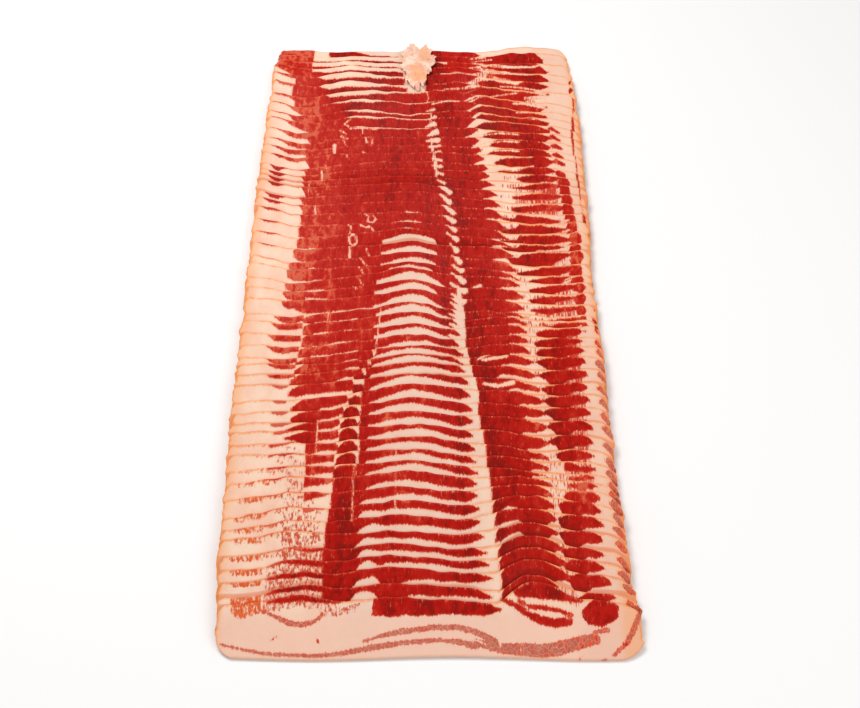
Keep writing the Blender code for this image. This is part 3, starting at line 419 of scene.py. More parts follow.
# Single marks: "fat" or a tone, the half widths at both ends, and points with x and the place
STROKES = """
    fat .4 .5: -58 107 -50 106.4 -38 107.5
    fat .4 .4: -49 103 -48 111
    fat .5 .4: -59 97 -63 101 -58 104
    fat .4 .8: -46 116.5 -44.5 121
    fat .4 .5: -40 118 -41 122
    fat .6 .3: -66 109 -61 112
    fat .6 .3: -65 114 -60 118
    fat .5 .3: -63 120 -60 126
    fat 1.2 .9: -70 124 -69.5 133
    fat .5 .4: -60.5 135 -59.5 138
    fat .4 .5: -47.5 131 -45 133.5
    fat .5 .4: -76 145 -75.5 150
    fat .6 .9: -78.5 152 -77.5 163
    fat .5 .4: -80.5 176 -79.5 180
    fat .5 .8: -82 187 -81 197
    fat .5 .4: -44 197 -41 199 -42 203 -38 205 -36 201 -38 198
    fat .5 .4: -56 208 -54 210 -55 217
    fat .5 .5: -47 208 -43 210 -40 209 -36 214
    fat .7 .7: -52 217 -55 220 -54.5 224 -52 226.5 -49.5 224 -50 219.5 -52 217
    fat .7 .9: -54 228 -54 238
    fat .4 .4: -42 230 -40 236
    fat .4 .4: -47 238 -42 245
    fat .5 .3: -47 248 -43 254
    fat .4 .4: -48 257 -44 263
    fat .4 .3: -50 265 -48 268
    fat .3 .3: -67 286 -67 302
    fat .3 .3: -30 285 -34 330
    fat .6 .8: -35 322 -34 325
    fat .6 .8: -38 329 -37 333
    fat .6 .8: -41 337 -40 341
    fat .15 .2: -18 395 -18 445
    fat .3 .3: -70 378 -70 402
    fat .3 .3: -45 412 -45 452
    fat .8 1.9: 12.5 167.5 19.5 174.5
    fat .8 1.9: 12.5 177.5 19.5 184.5
    fat .8 1.9: 13.5 187 22 195
    fat .8 1.9: 14 197 22 204
    fat .8 1.8: 17 207 23 213
    fat .8 1.8: 17 215 24 222
    fat .8 2: 19.5 225 24 232
    fat .8 2.2: 20.5 236 26 243
    fat .8 2.2: 21 245 27 251
    fat .8 2.3: 20 253 28 261
    fat .8 2.4: 19 262 29 270
    fat .7 2.4: 20 272 28 279
    fat .6 2.2: 19 280 26 286
    fat .6 2.2: 18 290 26 294
    fat .6 2.2: 18 299 26 303
    fat .6 2.2: 17 308.5 26 312
    fat .6 2.2: 19 318.5 27 321
    fat .6 2.2: 19 327 27 331
    fat .6 2.2: 22 334 29 338
    fat .6 2: 22 341 30 345
    fat .6 1.4: 34 266.5 40 264.5
    .98 .7 .5: 31 266 35 268
    fat .4 .9: 36 331 44 327
    fat .8 1.2: 40 331 50 330 56 329
    fat .8 1.4: 40 350 50 352 60 350
    fat .8 1.6: 39 18 50 16
    fat .4 .8: 40 21.5 56 19
    fat .4 1.4: 10 24 18 26
    fat .8 2.2: 46 26 58 29
    fat 2 .6: 58 29 70 31 90 31 100 27
    fat .8 1.5: 38 32 46 31
    fat 1 2.4: 47 33 55 36
    fat 2 .8: 55 36 66 40 72 42
    fat .4 1.2: 14 43.5 26 42
    fat .8 1.4: 37 43.5 50 41
    fat 1 .7: 50 41 70 42 85 43 100 42
    fat .6 2.2: 36 53 44 50
    fat .8 2.5: 32 60 44 57
    fat .5 1: 52 44 60 47 66 50
    fat .7 1.2: 58 50 66 53 76 52
    fat .5 .7: 62 57 75 58 90 61 98 63
    fat .5 .8: 70 62 85 65 98 68
    fat 1 1.6: 82 71 92 70 98 70
    fat .4 1.3: 8 62 15 63
    fat .5 .9: 17 60.5 28 60
    fat .4 1.5: 31 75 42 70 46 69
    fat .4 .6: 7 79 18 76 28 76
    fat .4 .6: 46 71 58 68 75 66
    fat .7 1.2: 72 78 80 78 96 82
    fat .4 .8: 74 88 86 88 98 90
    fat .4 .5: 84 96 93 96
    fat .4 .6: 48 113 60 112 74 113.5
    fat .4 .6: 52 122 62 121 74 122
    fat .6 .5: 54 131 66 131 74 132
    fat .7 .4: 55 139 70 139 84 139
    fat .5 .8: 62 148 72 149 84 147
    fat .4 2.2: 33 115 45 113
    fat .5 2.4: 38 128 50 123
    fat .4 1.2: 2 86 8 84
    fat .4 1.4: 2 96 9 93
    fat .5 2.1: 1 104 8 101
    fat .7 2.6: 3 113 9.5 110
    fat .6 2.4: 2 120 10.5 119
    fat 1 2.1: 4 127 12 125
    fat .7 1.8: 4 133 12 132
    fat .7 1.4: 7 139 13 141
    fat .5 1.4: 7 147 13 148
    fat .5 1.2: 9 154 14.5 156
    fat .4 1.2: 10 162 15.5 165
    fat .4 .9: 11 168 15 171
    fat .4 1.2: 96 243 106 239
    fat .4 1.2: 94 227 107 224
    fat .3 1: 96 216 107 212
    fat .3 1: 98 206 107 202
    fat .3 .8: 100 260 109 256
    fat .4 1.2: 94 275 109 271
    .95 .4 .7: 6 131 11 136
    .95 .5 .4: 11 143 16 145
    .95 .4 .4: 12 151 17 153
    .75 4.6 6.2: 57.5 499 65 498 72 498.4
    .75 6.2 3.6: 72 498.4 78 500 83 502
    .5 3.4 1.4: 83 502 88 504 94 505.4
    .6 1.4 2.6: 47 505.5 55 508.5 62 512.5 69 516
    .6 2.6 2.8: 69 516 78 518 86 517
    .3 1.2 1.6: 57 505.5 64 508.6 71 509
    .3 1.6 1.2: 71 509 79 510.4 88 513.5
    fat .8 1.3: 62 506.2 70 505.4 80 507
    fat 1.3 .8: 80 507 90 508.2 96 507
    fat .3 .6: 61 510.6 72 512.2 80 513.6
    fat .6 .3: 80 513.6 87 515.5
    fat 2.4 1.4: 83 496.5 88 500.5
    -.3 .6 .8: -120 530 -112 532 -104 533.4
    -.35 .8 1.1: -104 533.4 -95 535 -80 536 -65 536.4
    -.35 1.1 1.7: -65 536.4 -52 535.6 -40 533.6 -28 531.4
    -.35 1.7 1.2: -28 531.4 -12 529 10 527.6
    -.35 .7 1.7: -36 528.4 -24 525 -12 522.4
    -.35 1.6 1.6: -12 522.8 5 520.6 20 520.4 30 523
    -.35 1.6 2: 30 523 38 526.6 42 528.5
    -.35 1 2: 10 528 20 528.6 31 531
    -.35 2 3.6: 31 529 44 532 56 532.8
    -.3 3.6 4: 56 532.8 70 533.6 80 532.4
    -.12 4 3.4: 80 532 90 529.6 101 527
    fat .4 .4: 44 525 45.5 532
    fat .3 .3: 58 530 57 535
    fat .3 .5: 12 524.5 24 524.8 36 530
    -.15 1 1.6: 101 523.4 108.5 522
    -.14 1 1.9: 129 504 128 513 124.5 521
    -.14 1.9 1.1: 124.5 521 119.5 529.5 111.5 536
    -.2 .7 .5: 107 538.5 102 541 92 544
    .3 .3 .5: 92.6 536.6 91.4 538.6
    .4 .2 .4: -87 525.4 -90 527.6
    .4 .4 .4: -63 528 -62.6 528.8
    -.1 .6 1.6: -96 511.4 -89 514.4 -80 518
    -.1 1.6 1.4: -80 518 -72 519 -65 517
    -.1 1.4 .6: -65 517 -59 513
    fat .8 2.8: -96 508.6 -86 510.6 -78 512
    fat 2.8 2.2: -78 512 -70 512 -62 510
"""


def cut_lines(text):
    """The cuts of one muscle from its lines: each a place and its points, as many in one cut as in the next."""
    cuts = []
    for line in text.strip().splitlines():
        places, outline = line.split(":")
        points = []
        for point in outline.split(";"):
            x, top, bottom, *shade = point.split()
            tone = float(shade[0]) if shade else points[-1][3]
            top = EDGE if top == "e" else float(top)
            bottom = FULL if bottom == "f" else float(bottom)
            points.append([float(x), top, bottom, tone])
        cuts += [(float(place), points) for place in places.split()]
    most = max(len(points) for _, points in cuts)
    return [(place, np.array(points + points[-1:] * (most - len(points)))) for place, points in cuts]


def stroke_lines(text):
    """Strokes from their lines: the tone, none for white fat, the two half widths, and the points."""
    strokes = []
    for line in text.strip().splitlines():
        head, tail = line.split(":")
        tone, start, end = head.split()
        numbers = [float(number) for number in tail.split()]
        points = list(zip(numbers[0::2], numbers[1::2]))
        strokes.append((None if tone == "fat" else float(tone), float(start), float(end), points))
    return strokes


CUTS = {name: (at, cut_lines(text)) for name, (at, text) in MUSCLES.items()}
MOTTLE_CUTS = {name: (at, cut_lines(text)) for name, (at, text) in MOTTLES.items()}
STROKE_LIST = stroke_lines(STROKES)


# The form of the block


def smooth(share):
    return share * share * (3 - 2 * share)


def along(stops, share):
    """The value between two stops of a list of (share, value), eased so that the line has no kinks."""
    starts = np.array([stop[0] for stop in stops])
    values = np.array([stop[1] for stop in stops])
    share = np.clip(share, starts[0], starts[-1])
    index = np.clip(np.searchsorted(starts, share, side="right") - 1, 0, len(stops) - 2)
    part = (share - starts[index]) / (starts[index + 1] - starts[index])
    return values[index] + (values[index + 1] - values[index]) * smooth(part)


def stage(y):
    """How far along the block a place is: 0 at the backmost lean edge, 1 at the nearest one."""
    return np.clip((BACK - y) / STAGE_LENGTH, 0.0, RIND_STAGE)


def eased_bows():
    """The bows on an even grid, eased across so that the edges run in smooth waves."""
    across = np.arange(-HALF_SPAN, HALF_SPAN + 1)
    kernel = np.exp(-((np.arange(-BOW_EASE_REACH, BOW_EASE_REACH + 1) / BOW_EASE) ** 2))
    kernel /= kernel.sum()
    rows = []
    for _, bows in BOWS:
        line = np.interp(across, BOW_ACROSS, bows)
        rows.append(np.convolve(np.pad(line, BOW_EASE_REACH, mode="edge"), kernel, mode="valid"))
    return np.array([row[0] for row in BOWS]), np.array(rows)


BOW_STAGES, BOW_GRID = eased_bows()


def bow(x, here):
    """How far a lean edge bows towards the front at this place across, at this stage."""
    index = np.clip(np.searchsorted(BOW_STAGES, here, side="right") - 1, 0, len(BOW_STAGES) - 2)
    share = smooth(np.clip((here - BOW_STAGES[index]) / (BOW_STAGES[index + 1] - BOW_STAGES[index]), 0, 1))
    place = np.clip(x + HALF_SPAN, 0, 2 * HALF_SPAN - 0.01)
    low = place.astype(int)
    part = place - low
    before = BOW_GRID[index, low] * (1 - part) + BOW_GRID[index, low + 1] * part
    after = BOW_GRID[index + 1, low] * (1 - part) + BOW_GRID[index + 1, low + 1] * part
    return before * (1 - share) + after * share


def bend(x, y):
    """How far the block is pushed towards the front here."""
    here = stage(y)
    return along(DRIFT, here) + bow(x, here)


def swelling(x, y):
    """How much higher than elsewhere the thick muscle lifts the rashers."""
    middle, reach = SWELLING_HUMP
    return along(SWELLING, stage(y)) * np.exp(-(((x - middle) / reach) ** 2))


def corner_cut(share, lean_cut, rind_cut):
    """How much shorter one end is at this share of the width, 0 at the lean edge and 1 at the rind edge."""
    lean = np.clip(1 - share / LEAN_CORNER_SHARE, 0, 1)
    rind = np.clip(1 - (1 - share) / RIND_CORNER_SHARE, 0, 1)
    return lean_cut * (1 - np.sqrt(1 - lean * lean)) + rind_cut * (1 - np.sqrt(1 - rind * rind))


def waves(seed, reach, count=9):
    """A smooth uneven line along x: a sum of waves, the longest 'reach' long, drawn from the seed."""
    draw = random.Random(seed)
    parts = [
        (reach / (1 + turn), draw.uniform(0, 2 * math.pi), draw.uniform(0.5, 1.0) / (1 + turn * 0.5))
        for turn in range(count)
    ]
    size = math.sqrt(sum(strength ** 2 for _, _, strength in parts) / 2)

    def line(x):
        return sum(strength * np.sin(2 * math.pi * x / length + start) for length, start, strength in parts) / size

    return line


def stations(total, step):
    """Places of grid lines, as shares: those of RIM at both ends, and an even step between them."""
    inner = np.arange(RIM[-1] + step * 0.6, total - RIM[-1] - step * 0.3, step)
    return np.concatenate([RIM, inner, total - np.array(RIM[::-1])]) / total


def slice_grid(columns, rows):
    """A thin closed sheet with grid lines at these shares, and the column, row and side of each vertex."""
    sheet = bmesh.new()
    bmesh.ops.create_grid(sheet, x_segments=len(columns) - 1, y_segments=len(rows) - 1, size=0.5)
    bmesh.ops.solidify(sheet, geom=sheet.faces[:], thickness=0.1)
    bmesh.ops.recalc_face_normals(sheet, faces=sheet.faces[:])
    mesh = bpy.data.meshes.new("slice")
    sheet.to_mesh(mesh)
    sheet.free()
    mesh.shade_smooth()
    places = np.zeros(len(mesh.vertices) * 3)
    mesh.vertices.foreach_get("co", places)
    places = places.reshape(-1, 3)
    column = columns[np.rint((places[:, 0] + 0.5) * (len(columns) - 1)).astype(int)]
    row = rows[np.rint((0.5 - places[:, 1]) * (len(rows) - 1)).astype(int)]
    side = np.where(places[:, 2] > places[:, 2].mean(), 1.0, -1.0)
    return mesh, column, row, side


class Rasher:
    """Where one rasher lies. Its index counts from the back."""

    def __init__(self, index):
        draw = random.Random(RASHER_SEED + index)
        share = index / (RASHERS - 1)
        self.index = index
        self.left = float(along(LEFT_ENDS, share)) + draw.uniform(-END_SCATTER, END_SCATTER)
        self.right = float(along(RIGHT_ENDS, share)) + draw.uniform(-END_SCATTER, END_SCATTER)
        self.rind = BACKMOST_RIND - index * PITCH
        across = np.array(EDGE_ACROSS)
        wanted = np.array([edges[index] for edges in LEAN_EDGES])
        setback = np.zeros(len(EDGE_ACROSS))
        for _ in range(4):  # the bend depends on the place that it moves, so a few rounds settle it
            unbent = self.rind + WIDTH - setback
            setback = wanted - (BACK - self.rind - WIDTH + FIRST_PLACE + bend(across, unbent))
        self.setbacks = tuple(zip(EDGE_ACROSS, setback))
        self.wobble = waves(EDGE_SEED + index, EDGE_WAVE)
        self.ends = waves(END_SEED + index, END_WAVE, END_WAVES)

    def lean_edge(self, x):
        """The lean edge in the unbent block."""
        return self.rind + WIDTH - along(self.setbacks, x) - UNEVEN * self.wobble(x)

    def edge_place(self, x):
        """Where the lean edge lies in the bent block, counted from its back like LEAN_EDGES."""
        y = self.lean_edge(x)
        return BACK - y + FIRST_PLACE + bend(x, y)


# The maps of lean and fat


def cut_depths(cut, column, gap):
    """The top or bottom depths of a cut, where a small negative one is counted up from the next rasher."""
    depths = cut[:, column]
    upwards = depths + np.interp(cut[:, 0], *gap)
    if column == 1:
        return np.where(depths < EDGE - 0.5, upwards, depths)
    hidden = HIDDEN_STRIP * np.clip((THICK_STRIP + depths) / STRIP_EASE, 0, 1)
    return np.where(depths < 0.0, upwards - hidden, depths)


def field(cuts, place, x, depth, gap, seed):
    """How deep inside a muscle each point is, in mm (outside it is negative), and the muscle's tone."""
    places = [cut[0] for cut in cuts]
    if place < places[0] - RUN_OUT or place > places[-1] + RUN_OUT:
        return np.full_like(x, OUTSIDE), np.zeros_like(x)
    index = int(np.clip(np.searchsorted(places, place, side="right") - 1, 0, len(cuts) - 2))
    share = min(1.0, max(0.0, (place - places[index]) / (places[index + 1] - places[index])))
    before, after = cuts[index][1], cuts[index + 1][1]
    points = before * (1 - share) + after * share
    for column in (1, 2):
        here, there = cut_depths(before, column, gap), cut_depths(after, column, gap)
        points[:, column] = here * (1 - share) + there * share
    draw = random.Random(seed)
    across = np.sort(points[:, 0] + np.array([draw.uniform(-POINT_SCATTER, POINT_SCATTER) for _ in points]))
    top, bottom, tone = [np.interp(x, across, points[:, column]) for column in (1, 2, 3)]
    return np.minimum.reduce([depth - top, bottom - depth, x - across[0], across[-1] - x]), tone


def layered(groups, rasher, gap, x, depth, seed):
    """All the cuts of some groups laid over each other."""
    inside = np.full_like(x, OUTSIDE)
    tone = np.zeros_like(x)
    for number, (at, cuts) in enumerate(groups.values()):
        place = float(rasher.edge_place(np.array([float(at)]))[0])
        deep, shade = field(cuts, place, x, depth, gap, seed + MUSCLE_SEEDS * number + rasher.index)
        tone = np.where(deep > inside, shade, tone)
        inside = np.maximum(inside, deep)
    return inside, tone


def stroke_inside(start, end, points, x, place):
    """How deep inside a stroke of changing width each point lies."""
    inside = np.full_like(x, OUTSIDE)
    steps = len(points) - 1
    for number, ((x0, y0), (x1, y1)) in enumerate(zip(points, points[1:])):
        squared = (x1 - x0) ** 2 + (y1 - y0) ** 2
        share = np.clip(((x - x0) * (x1 - x0) + (place - y0) * (y1 - y0)) / squared, 0, 1)
        half = start + (end - start) * (number + share) / steps
        away = np.hypot(x - x0 - share * (x1 - x0), place - y0 - share * (y1 - y0))
        inside = np.maximum(inside, half - away)
    return inside


def marbling(rasher, gap, x, depth, place):
    """The maps of one rasher: depth inside the lean, its tone, and how mottled the fat is."""
    lean, tone = layered(CUTS, rasher, gap, x, depth, LEAN_SEED)
    low, high = place.min(), place.max()
    for shade, start, end, points in STROKE_LIST:
        ys = [point[1] for point in points]
        if max(ys) < low - STROKE_REACH or min(ys) > high + STROKE_REACH:
            continue
        inside = stroke_inside(start, end, points, x, place)
        if shade is None:
            lean = np.minimum(lean, -inside)
        else:
            tone = np.where(inside > np.maximum(lean, -0.5), shade, tone)
            lean = np.maximum(lean, inside)
    deep, strength = layered(MOTTLE_CUTS, rasher, gap, x, depth, MOTTLE_SEED)
    return lean, tone, strength * np.clip(deep / MOTTLE_EASE + 0.5, 0, 1)


# The rashers


def add_piece(mesh, material):
    """Puts a finished mesh into the scene."""
    mesh.materials.append(material)
    mesh.update()
    piece = bpy.data.objects.new(mesh.name, mesh)
    bpy.context.scene.collection.objects.link(piece)
    return piece


def lay(rasher, following, template, material):
    """One rasher: the sheet laid in its place, with its rounded rim and its maps."""
    mesh, column, row, side = template
    mesh = mesh.copy()
    mesh.name = f"rasher_{rasher.index + 1:02d}_slice"
    cuts_left, cuts_right = zip(LEAN_CORNERS, RIND_CORNERS)
    left = rasher.left + corner_cut(row, *cuts_left) + UNEVEN * rasher.ends(row * WIDTH)
    right = rasher.right - corner_cut(row, *cuts_right) - UNEVEN * rasher.ends(row * WIDTH + OTHER_END)
    x = left + column * (right - left)
    size, length, start = RIND_WAVE
    rind = rasher.rind + size * (1 + np.cos(2 * math.pi * (x - start) / length)) / 2
    back = rasher.lean_edge(x)
    y = back + (rind - back) * row
    depth = back - y
    edge = np.minimum(np.minimum(depth, y - rind), np.minimum(x - left, right - x))
    inward = np.clip(1 - edge / RIM_RADIUS, 0, 1)
    half = THICKNESS / 2 * SNUG * np.maximum(np.sqrt(1 - inward * inward), RIM_LEAST)
    below = np.clip(rasher.index - np.maximum((BACKMOST_RIND - y) / PITCH, 0), 0, None)
    z = THICKNESS / 2 + RISE * below * (1 + swelling(x, y)) + side * half
    places = np.stack([x + CENTRE[0], y - bend(x, y) + CENTRE[1], np.maximum(z, 0.0)], axis=1)
    mesh.vertices.foreach_set("co", (places * MM).ravel())
    grid_x = np.arange(-HALF_SPAN, HALF_SPAN + 1)
    if following is rasher:
        gap = (grid_x, np.full_like(grid_x, NO_NEXT))
    else:
        gap = (grid_x, following.edge_place(grid_x) - rasher.edge_place(grid_x))
    place = BACK - y + FIRST_PLACE + bend(x, y)
    lean, tone, mottle = marbling(rasher, gap, x, depth, place)
    free = np.interp(x, *gap) - depth
    for name, values in zip(MAPS, (lean, tone, edge, mottle, free)):
        mesh.attributes.new(name, "FLOAT", "POINT").data.foreach_set("value", values.astype(np.float32))
    piece = add_piece(mesh, material)
    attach(piece, "root")
    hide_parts(f"rasher_{rasher.index + 1:02d}")


# The materials

MAPS = ("lean", "tone", "rim", "mottle", "free")

# Noise: patterns to the metre along x, y and z, then its detail and its roughness
GRAINS = {
    "Fibre": ((900, 190, 300), 2.0, 0.6),
    "Fine": ((2200, 900, 900), 2.0, 0.6),
    "Patches": ((70, 45, 60), 2.0, 0.5),
    "Lumps": ((260, 150, 200), 3.0, 0.55),
}
COLUMNS = ((420, 22, 60), 2.0, 0.5)
BANDS = ((120, 14, 30), 2.0, 0.5)
HAIR = ((1000, 110, 300), 2.0, 0.6)
SHORT_HAIR = ((620, 250, 300), 3.0, 0.65)
TEARS = ((150, 90, 150), 4.0, 0.65)
BEADS = (420, 280, 300)

# Where on the block a look sets in and is full, in metres from its middle across it and along it
RIGHT_HALF = (0.02, 0.03)
RIGHT_OF_MIDDLE = (0.0, 0.02)
ABOUT_MIDDLE = (-0.01, 0.01)
INNER_FROM_LEFT = (-0.06, -0.04)
INNER_FROM_RIGHT = (0.045, 0.03)
RIGHT_PART = (0.085, 0.105)
RIGHT_SIDE = (0.1135, 0.1205)
LEFT_SIDE = (-0.118, -0.1265)
TIPS_FROM_LEFT = (0.045, 0.06)
TIPS_FROM_RIGHT = (0.092, 0.086)
MIDDLE_FROM_LEFT = (-0.1, -0.085)
MIDDLE_FROM_RIGHT = (0.05, 0.035)
PAST_LEFT_DASHES = (-0.099, -0.090)
NEAREST_FACE = (-0.236, -0.250)
NEAREST_RIND = (-0.264, -0.255)
BACK_HALF = (-0.06, -0.03)

# Colours as they are seen, 0 to 255
LEAN_TONES = (
    (0.0, (194, 112, 90)), (0.25, (190, 88, 70)), (0.36, (226, 98, 66)), (0.5, (191, 40, 24)),
    (0.667, (182, 22, 9)), (0.87, (171, 14, 3)), (1.0, (138, 14, 6)),
)
LEAN_FLECK = (226, 104, 70)
LEAN_BY_FAT = (222, 84, 54)
# painted highlight: the lighter lean at a rasher's cut edge
LEAN_EDGE_PAINTED_HIGHLIGHT = (214, 74, 40)
LEAN_FRINGE = (234, 126, 90)
# painted shade: the darker lean just before the next rasher's edge covers it
LEAN_PAINTED_SHADE_BY_NEXT = (124, 20, 10)
FAT = (244, 212, 187)
FAT_PATCH = (240, 195, 169)
FAT_LIGHT = (251, 224, 204)
FAT_INNER = (230, 200, 182)
FAT_BY_LEAN = (240, 160, 128)
FAT_NEAREST = (240, 193, 171)
FAT_ROSY = (230, 178, 156)
FAT_SIDE = (240, 170, 118)
# painted shade: the darker, oranger fat just before the next rasher's edge covers it
FAT_PAINTED_SHADE_BY_NEXT = (222, 128, 90)
FAT_RIM = (243, 148, 62)
HAIR_LEFT = (226, 104, 50)
HAIR_COLOUR = (204, 84, 52)
HAIR_RIGHT = (204, 62, 46)
HAIR_FIBRE = (206, 74, 44)
FLAP_FAT = (236, 176, 152)
FLAP_PALE = (249, 218, 194)
FLAP_TIP = (242, 160, 104)
FLAP_LEAN = (186, 70, 56)
FLAP_LIGHT = (252, 226, 208)


def srgb(red, green, blue):
    """A colour given as it is seen, 0 to 255, as the linear values that a shader takes."""
    channels = []
    for channel in (red, green, blue):
        share = channel / 255
        channels.append(share / 12.92 if share <= 0.04045 else ((share + 0.055) / 1.055) ** 2.4)
    return (*channels, 1.0)


class Nodes:
    """Adds nodes to the tree of one material or group, and wires them up."""

    def __init__(self, tree):
        self.tree = tree

    def add(self, kind, **settings):
        node = self.tree.nodes.new(kind)
        for name, value in settings.items():
            setattr(node, name, value)
        return node

    def feed(self, socket, value):
        """Wires another node's output into a socket, or sets the socket to a number or a colour."""
        if isinstance(value, bpy.types.NodeSocket):
            self.tree.links.new(value, socket)
        else:
            socket.default_value = srgb(*value) if isinstance(value, tuple) else value

    def calculate(self, operation, first, *others):
        """One operation on two values, or on a row of them from left to right."""
        for value in others:
            node = self.add("ShaderNodeMath", operation=operation)
            self.feed(node.inputs[0], first)
            self.feed(node.inputs[1], value)
            first = node.outputs[0]
        return first

    def plus(self, *values):
        return self.calculate("ADD", *values)

    def times(self, *values):
        return self.calculate("MULTIPLY", *values)

    def minus(self, first, second):
        return self.calculate("SUBTRACT", first, second)

    def eased(self, source, low, high, start=0.0, end=1.0):
        """A soft step: 'start' where the source is at 'low', 'end' where it is at 'high'."""
        node = self.add("ShaderNodeMapRange", interpolation_type="SMOOTHSTEP")
        self.feed(node.inputs["Value"], source)
        for name, value in (("From Min", low), ("From Max", high), ("To Min", start), ("To Max", end)):
            self.feed(node.inputs[name], value)
        return node.outputs["Result"]

    def centred(self, value, size):
        """A noise value turned into one that swings both ways by half the size."""
        return self.times(self.minus(value, 0.5), size)

    def painted(self, colour, layers):
        """A colour with layers over it, each a mask and its colour."""
        for amount, over in layers:
            node = self.add("ShaderNodeMix", data_type="RGBA")
            for number, value in ((0, amount), (6, colour), (7, over)):
                self.feed(node.inputs[number], value)
            colour = node.outputs[2]
        return colour

    def stretched(self, coordinates, scale):
        node = self.add("ShaderNodeMapping")
        node.inputs["Scale"].default_value = scale
        self.feed(node.inputs["Vector"], coordinates)
        return node.outputs["Vector"]

    def noise(self, coordinates, scale, detail, roughness):
        node = self.add("ShaderNodeTexNoise")
        self.feed(node.inputs["Vector"], self.stretched(coordinates, scale))
        for name, value in (("Scale", 1.0), ("Detail", detail), ("Roughness", roughness)):
            self.feed(node.inputs[name], value)
        return node.outputs["Fac"]

    def from_membranes(self, coordinates, scale):
        """How far each point is from the membranes between small beads of lean."""
        node = self.add("ShaderNodeTexVoronoi", feature="DISTANCE_TO_EDGE")
        self.feed(node.inputs["Vector"], self.stretched(coordinates, scale))
        self.feed(node.inputs["Scale"], 1.0)
        return node.outputs["Distance"]

    def relief(self, surface, height, strength, distance):
        """Bumps on the material's own surface."""
        node = self.add("ShaderNodeBump")
        for name, value in (("Strength", strength), ("Distance", distance), ("Height", height)):
            self.feed(node.inputs[name], value)
        self.feed(surface.inputs["Normal"], node.outputs["Normal"])


def moist_grain():
    """The fine grain of moist meat and fat, as values and a height: one group for both materials."""
    group = bpy.data.node_groups.new("moist_grain", "ShaderNodeTree")
    nodes = Nodes(group)
    group.interface.new_socket("Vector", in_out="INPUT", socket_type="NodeSocketVector")
    coordinates = nodes.add("NodeGroupInput").outputs["Vector"]
    values = {name: nodes.noise(coordinates, *grain) for name, grain in GRAINS.items()}
    values["Height"] = nodes.plus(nodes.times(values["Fine"], 0.35), nodes.times(values["Lumps"], 1.3))
    output = nodes.add("NodeGroupOutput")
    for name, value in values.items():
        group.interface.new_socket(name, in_out="OUTPUT", socket_type="NodeSocketFloat")
        nodes.feed(output.inputs[name], value)
    return group


def moist_material(name, group):
    """A new material with the moist grain in it: the material, its nodes and surface, and what they read."""
    made = bpy.data.materials.new(name)
    made.use_nodes = True
    nodes = Nodes(made.node_tree)
    coordinates = nodes.add("ShaderNodeTexCoord").outputs["Object"]
    grained = nodes.add("ShaderNodeGroup", node_tree=group)
    nodes.feed(grained.inputs["Vector"], coordinates)
    read = SimpleNamespace(coordinates=coordinates)
    for output in grained.outputs:
        setattr(read, output.name.lower(), output)
    return made, nodes, made.node_tree.nodes["Principled BSDF"], read


def lean_shades(nodes, read):
    """Lean: darker and lighter along its fibres, with a painted highlight at its cut edge and painted shade where
    the next rasher lies over it.
    """
    centred, eased = nodes.centred, nodes.eased
    columns = nodes.noise(read.coordinates, *COLUMNS)
    bands = nodes.noise(read.coordinates, *BANDS)
    shade = nodes.plus(
        centred(columns, 0.3), centred(read.patches, 0.7), centred(read.fine, 0.7), centred(read.lumps, 1.4),
        centred(bands, 0.7),
    )
    # painted highlight: the lean turns lighter towards the rasher's cut edges
    shade = nodes.minus(shade, eased(read.rim, 0.4, 2.6, 0.16, 0.0))
    ramp = nodes.add("ShaderNodeValToRGB")
    stops = ramp.color_ramp.elements
    for number, (place, colour) in enumerate(LEAN_TONES):
        stop = stops[number] if number < 2 else stops.new(place)
        stop.position = place
        stop.color = srgb(*colour)
    # the ramp covers tones from -0.5 to 1
    nodes.feed(ramp.inputs["Fac"], nodes.calculate("DIVIDE", nodes.plus(read.tone, shade, 0.5), 1.5))
    fringe = nodes.times(eased(read.rim, 1.9, 0.9), eased(read.fibre, 0.52, 0.68, 0.0, 0.6))
    # painted shade: the lean darkens close to where the next rasher lies over it
    painted_contact_shade = eased(nodes.plus(read.free, centred(read.lumps, 3.0)), 0.0, 2.4, 0.34, 0.0)
    return nodes.painted(ramp.outputs["Color"], (
        (eased(read.fibre, 0.60, 0.78, 0.0, 0.55), LEAN_FLECK),
        (eased(read.torn, 0.1, 1.1, 0.55, 0.0), LEAN_BY_FAT),
        # painted highlight along the cut edge of the lean
        (eased(nodes.plus(read.rim, read.fine), 0.5, 1.3, 0.55, 0.0), LEAN_EDGE_PAINTED_HIGHLIGHT),
        (nodes.times(fringe, eased(read.across, *RIGHT_OF_MIDDLE, 0.8, 1.45)), LEAN_FRINGE),
        # painted shade where the next rasher lies over the lean
        (nodes.times(painted_contact_shade, eased(read.across, *ABOUT_MIDDLE, 0.8, 1.6)), LEAN_PAINTED_SHADE_BY_NEXT),
    ))


def warm_rim(nodes, read):
    """Where the fat's rim is orange: unevenly, most of all at the tips on the right, least in the middle."""
    eased = nodes.eased
    rim = eased(nodes.plus(read.rim, nodes.times(read.fibre, 1.6)), 1.2, 2.9, 0.95, 0.0)
    tips = nodes.times(eased(read.across, *TIPS_FROM_LEFT), eased(read.across, *TIPS_FROM_RIGHT))
    middle = nodes.times(
        eased(read.across, *MIDDLE_FROM_LEFT), eased(read.across, *MIDDLE_FROM_RIGHT),
        eased(read.along, *BACK_HALF, 0.0, 0.7),
    )
    return nodes.times(
        rim,
        eased(nodes.plus(read.lumps, nodes.times(tips, 0.3)), 0.35, 0.6, 0.45, 1.0),
        eased(read.rim, 0.1, 0.6, 0.4, 1.0),
        eased(read.along, *NEAREST_RIND, 0.2, 1.0),
        nodes.minus(1.0, middle),
    )


